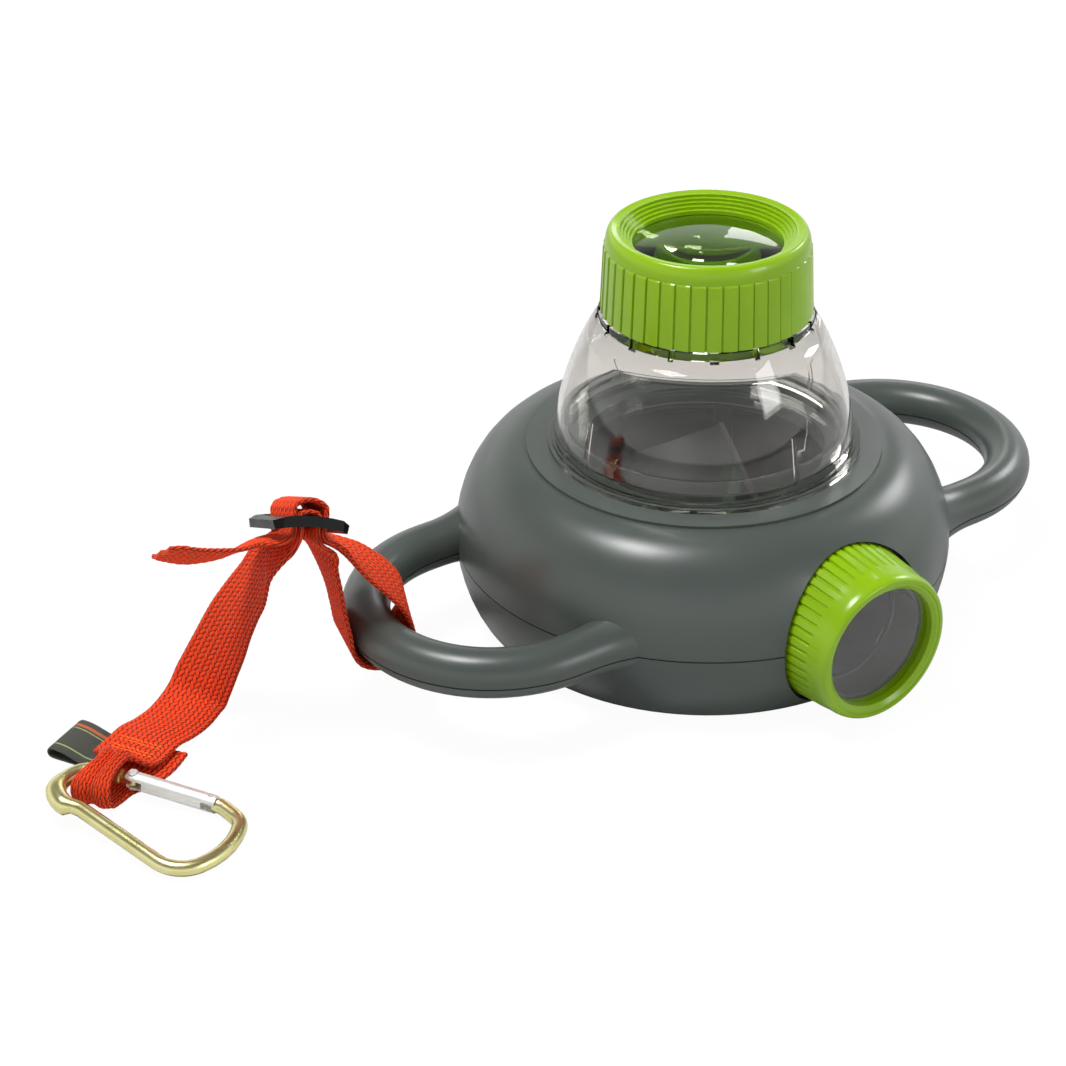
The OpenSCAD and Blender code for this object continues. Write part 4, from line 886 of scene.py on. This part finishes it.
class JAR_OT_stage(bpy.types.Operator):
    """Set the floor, the soft light and the camera"""

    bl_idname = "jar.stage"
    bl_label = "Stage"

    def execute(self, context):
        settings = context.scene.jar_stage
        scene = context.scene
        scene.view_settings.view_transform = "Standard"
        camera = photo_camera()
        scene.collection.objects.link(camera)
        scene.camera = camera

        mesh = bpy.data.meshes.new("floor")
        mesh.from_pydata([(x * FLOOR_REACH, y * FLOOR_REACH, 0) for x, y in (
            (-1, -1), (1, -1), (1, 1), (-1, 1))], [], [(0, 1, 2, 3)])
        placed("floor", mesh, white_sweep(settings.floor))
        scene.world = white_room(settings.room)

        key, fill = settings.key, settings.fill
        softbox("overhead_softbox", (-0.36, 0.12, 1.1), (0, 0, 0.05), (0.34, 0.26), key)
        softbox("right_softbox", (1.2, 0.1, 0.75), (0, 0, 0.1), (0.42, 0.32), fill)
        softbox("front_softbox", (0.45, -1.25, 0.55), (0, 0, 0.1), (0.4, 0.4), fill * 0.6)
        softbox("window_softbox", (0.90, 0.86, 0.55), (0, 0, 0.14), (0.2, 0.24), fill * 0.1)
        softbox("well_softbox", (0.58, 0.55, 0.88), (0, -0.05, 0.03), (0.06, 0.05), 0.12)
        return {"FINISHED"}


class JAR_OT_housing(bpy.types.Operator):
    """Give the two housings, their screws and the mirror their finishes"""

    bl_idname = "jar.housing"
    bl_label = "Housing"

    def execute(self, context):
        shell = housing_abs()
        dress("upper_housing", "upper_shell", "base", "housing_grey", shell, 24)
        dress("lower_housing", "lower_shell", "base", "housing_grey", shell, 24)
        dress("mirror_carrier", "mirror_bracket", "base", "dark_inner", dark_polypropylene())
        grey = tube_polystyrene()
        dress("viewing_tube", "sight_tube", "base", "dark_inner", grey)
        lip = plain_ring("tube_lip", [(21.3, 80.6), (21.3, 83.0), (20.9, 83.0), (20.6, 82.7),
                                      (20.6, 81.2), (20.9, 80.6)], grey, PORT_TURN)
        settle(lip, "base", "dark_inner")
        paint("mirror", mirror_glass())
        steel = plated_steel()
        dress("housing_screws", "shell_screws", "base", "screw_steel", steel)
        dress("mirror_screws", "bracket_screws", "base", "screw_steel", steel)
        return {"FINISHED"}


class JAR_OT_chamber(bpy.types.Operator):
    """Give the dome and the dish their clear finish"""

    bl_idname = "jar.chamber"
    bl_label = "Clear chamber"

    def execute(self, context):
        dress("dome", "clear_dome", "chamber", "clear",
              clear_polystyrene("clear_polystyrene", "#fbf8f4"), 28)
        dress("specimen_dish", "clear_dish", "base", "clear",
              clear_polystyrene("clear_dish_polystyrene", "#f4f6f4"), 28)
        return {"FINISHED"}


class JAR_OT_lid(bpy.types.Operator):
    """Make the fluted lid with its lens and keeper ring"""

    bl_idname = "jar.lid"
    bl_label = "Lens lid"

    def execute(self, context):
        green = green_abs()
        lid = fluted_ring("fluted_lid", lid_outline(), context.scene.jar_rings.lid_flutes,
                          (0, 0.05, 0.09, 0.3, 0.5, 0.7, 0.9, 0.96, 1), panel_depth, green)
        settle(lid, "lid", "green", "lens_lid")
        sleeve = plain_ring("lens_sleeve", [(29.0, 140.6), (30.4, 140.6), (30.4, 125.5),
                                            (29.6, 125.5)], green)
        settle(sleeve, "lid", "green")
        dress("lens_keeper", "lens_ring", "lid", "green", green)
        dress("top_lens", "magnifier", "lid", "clear",
              clear_acrylic("green_tinted_acrylic", "#d3eaa6"), 40)
        return {"FINISHED"}


class JAR_OT_port(bpy.types.Operator):
    """Make the fluted port ring with its window and keeper ring"""

    bl_idname = "jar.port"
    bl_label = "Viewing port"

    def execute(self, context):
        green = green_abs()
        ring = fluted_ring("fluted_ring", port_outline(), context.scene.jar_rings.port_flutes,
                           (0, 0.1, 0.2, 0.5, 0.8, 0.9, 1), rib_depth, green, PORT_TURN)
        settle(ring, "port", "green", "port_ring")
        dress("port_keeper", "window_ring", "port", "green", green)
        dress("port_window", "window", "port", "clear",
              clear_acrylic("polished_acrylic", "#fbfdfc"), 40)
        return {"FINISHED"}


class JAR_OT_strap(bpy.types.Operator):
    """Weave the strap round the grip, through the slide and into the hook"""

    bl_idname = "jar.strap"
    bl_label = "Webbing strap"

    def execute(self, context):
        settings = context.scene.jar_strap
        rows, at = even_run(catmull(STRAP_ROWS, 12), 0.68)
        yaw, dip, share = np.radians(rows[:, 3]), np.radians(rows[:, 4]), rows[:, 5]
        side = np.stack([np.cos(yaw) * np.cos(dip), np.sin(yaw) * np.cos(dip), np.sin(dip)], 1)
        half_w = np.full(len(rows), WEB_W / 2) * share
        # Where it is gathered it puckers in two pleats, but not where it lies on the floor
        pleat = np.clip(1 - share, 0, 0.6) * np.clip((rows[:, 2] - 1.2) / 3, 0, 1)
        relief = settings.relief / MM
        rounded, selvedge = 0.35, 0.8

        def offsets(k, face, across):
            start = at[k] + (0 if face == 1 else UNDERSIDE_SHIFT)
            yarn = weave_height((across + 2) * WEB_W / 2 * MM, start * MM, settings)
            inside = np.abs(across) * WEB_W / 2 - (WEB_W / 2 - selvedge)
            edge = 1 - np.clip(inside / selvedge, 0, 1) ** 2 * rounded
            fold = pleat[k] * 1.6 * (1 - np.cos(TURN * across))
            return face * (WEB_T / 2 - relief * (1 - yarn)) * edge + fold

        strap = ribbon("woven_strap", rows[:, :3], side, at, np.linspace(-1, 1, 37), half_w,
                       offsets, webbing_polyester(settings), 75)
        settle(strap, "base", "webbing", "strap")
        settle(bar_tack(settings), "base", "webbing")
        return {"FINISHED"}


class JAR_OT_fittings(bpy.types.Operator):
    """Make the slide and the folded label"""

    bl_idname = "jar.fittings"
    bl_label = "Slide and label"

    def execute(self, context):
        dress("strap_slider", "three_bar_slide", "base", "slider_black", slider_acetal())
        rows = catmull(LABEL_ROWS, 6)
        spot = (Matrix.Translation(CLIP_AT) @ Matrix.Rotation(CLIP_YAW, 4, "Z")
                @ Matrix.Translation(LABEL_AT) @ Matrix.Rotation(LABEL_YAW, 4, "Z"))
        centre = np.array([spot @ Vector((x, 0, z)) for x, z in rows])
        side = np.array([spot.to_3x3() @ Vector((0, 1, 0))] * len(rows))

        def offsets(k, face, across):
            edge = np.clip((np.abs(across) - 0.94) / 0.06, 0, 1)
            return face * LABEL_T / 2 * (1 - 0.5 * edge ** 2)

        label = ribbon("folded_label", centre, side, run_length(centre), np.linspace(-1, 1, 25),
                       np.full(len(rows), LABEL_W / 2), offsets, label_cloth(), 60)
        settle(label, "base", "label_cloth", "label_tab")
        return {"FINISHED"}


class JAR_OT_hook(bpy.types.Operator):
    """Make the snap hook with its sprung gate"""

    bl_idname = "jar.hook"
    bl_label = "Snap hook"

    def execute(self, context):
        dress("hook_frame", "hook_bar", "hook", "hook_gold", gold_aluminium(), 40)
        silver = satin_aluminium()
        dress("hook_gate", "gate_barrel", "gate", "gate_silver", silver)
        dress("gate_rivet", "rivet", "hook", "gate_silver", silver)
        dress("gate_catch_pin", "catch_pin", "gate", "gate_silver", silver)
        wire = spring_steel()
        paint("gate_spring", wire)
        paint("gate_plunger", wire)
        return {"FINISHED"}


STEPS = (JAR_OT_stage, JAR_OT_housing, JAR_OT_chamber, JAR_OT_lid, JAR_OT_port,
         JAR_OT_strap, JAR_OT_fittings, JAR_OT_hook)
GROUPS = {"jar_strap": JarStrapSettings, "jar_rings": JarRingSettings,
          "jar_stage": JarStageSettings}


class JAR_PT_panel(bpy.types.Panel):
    """Buttons for each group of the jar"""

    bl_idname = "JAR_PT_panel"
    bl_label = "Bug Catcher Jar"
    bl_space_type = "VIEW_3D"
    bl_region_type = "UI"
    bl_category = "Jar"

    def draw(self, context):
        for step in STEPS:
            self.layout.operator(step.bl_idname)
        for group in GROUPS:
            settings = getattr(context.scene, group)
            for name in settings.bl_rna.properties.keys():
                if name not in ("rna_type", "name"):
                    self.layout.prop(settings, name)


def register():
    """Adds the settings, the operators and the panel to Blender."""
    for kind in (*GROUPS.values(), *STEPS, JAR_PT_panel):
        bpy.utils.register_class(kind)
    for name, kind in GROUPS.items():
        setattr(bpy.types.Scene, name, bpy.props.PointerProperty(type=kind))


def unregister():
    """Takes them out again."""
    for name in GROUPS:
        delattr(bpy.types.Scene, name)
    for kind in reversed((*GROUPS.values(), *STEPS, JAR_PT_panel)):
        bpy.utils.unregister_class(kind)


def main():
    register()
    bpy.ops.jar.stage()
    bpy.ops.jar.housing()
    bpy.ops.jar.chamber()
    bpy.ops.jar.lid()
    bpy.ops.jar.port()
    bpy.ops.jar.strap()
    bpy.ops.jar.fittings()
    bpy.ops.jar.hook()


if __name__ == "__main__":
    main()
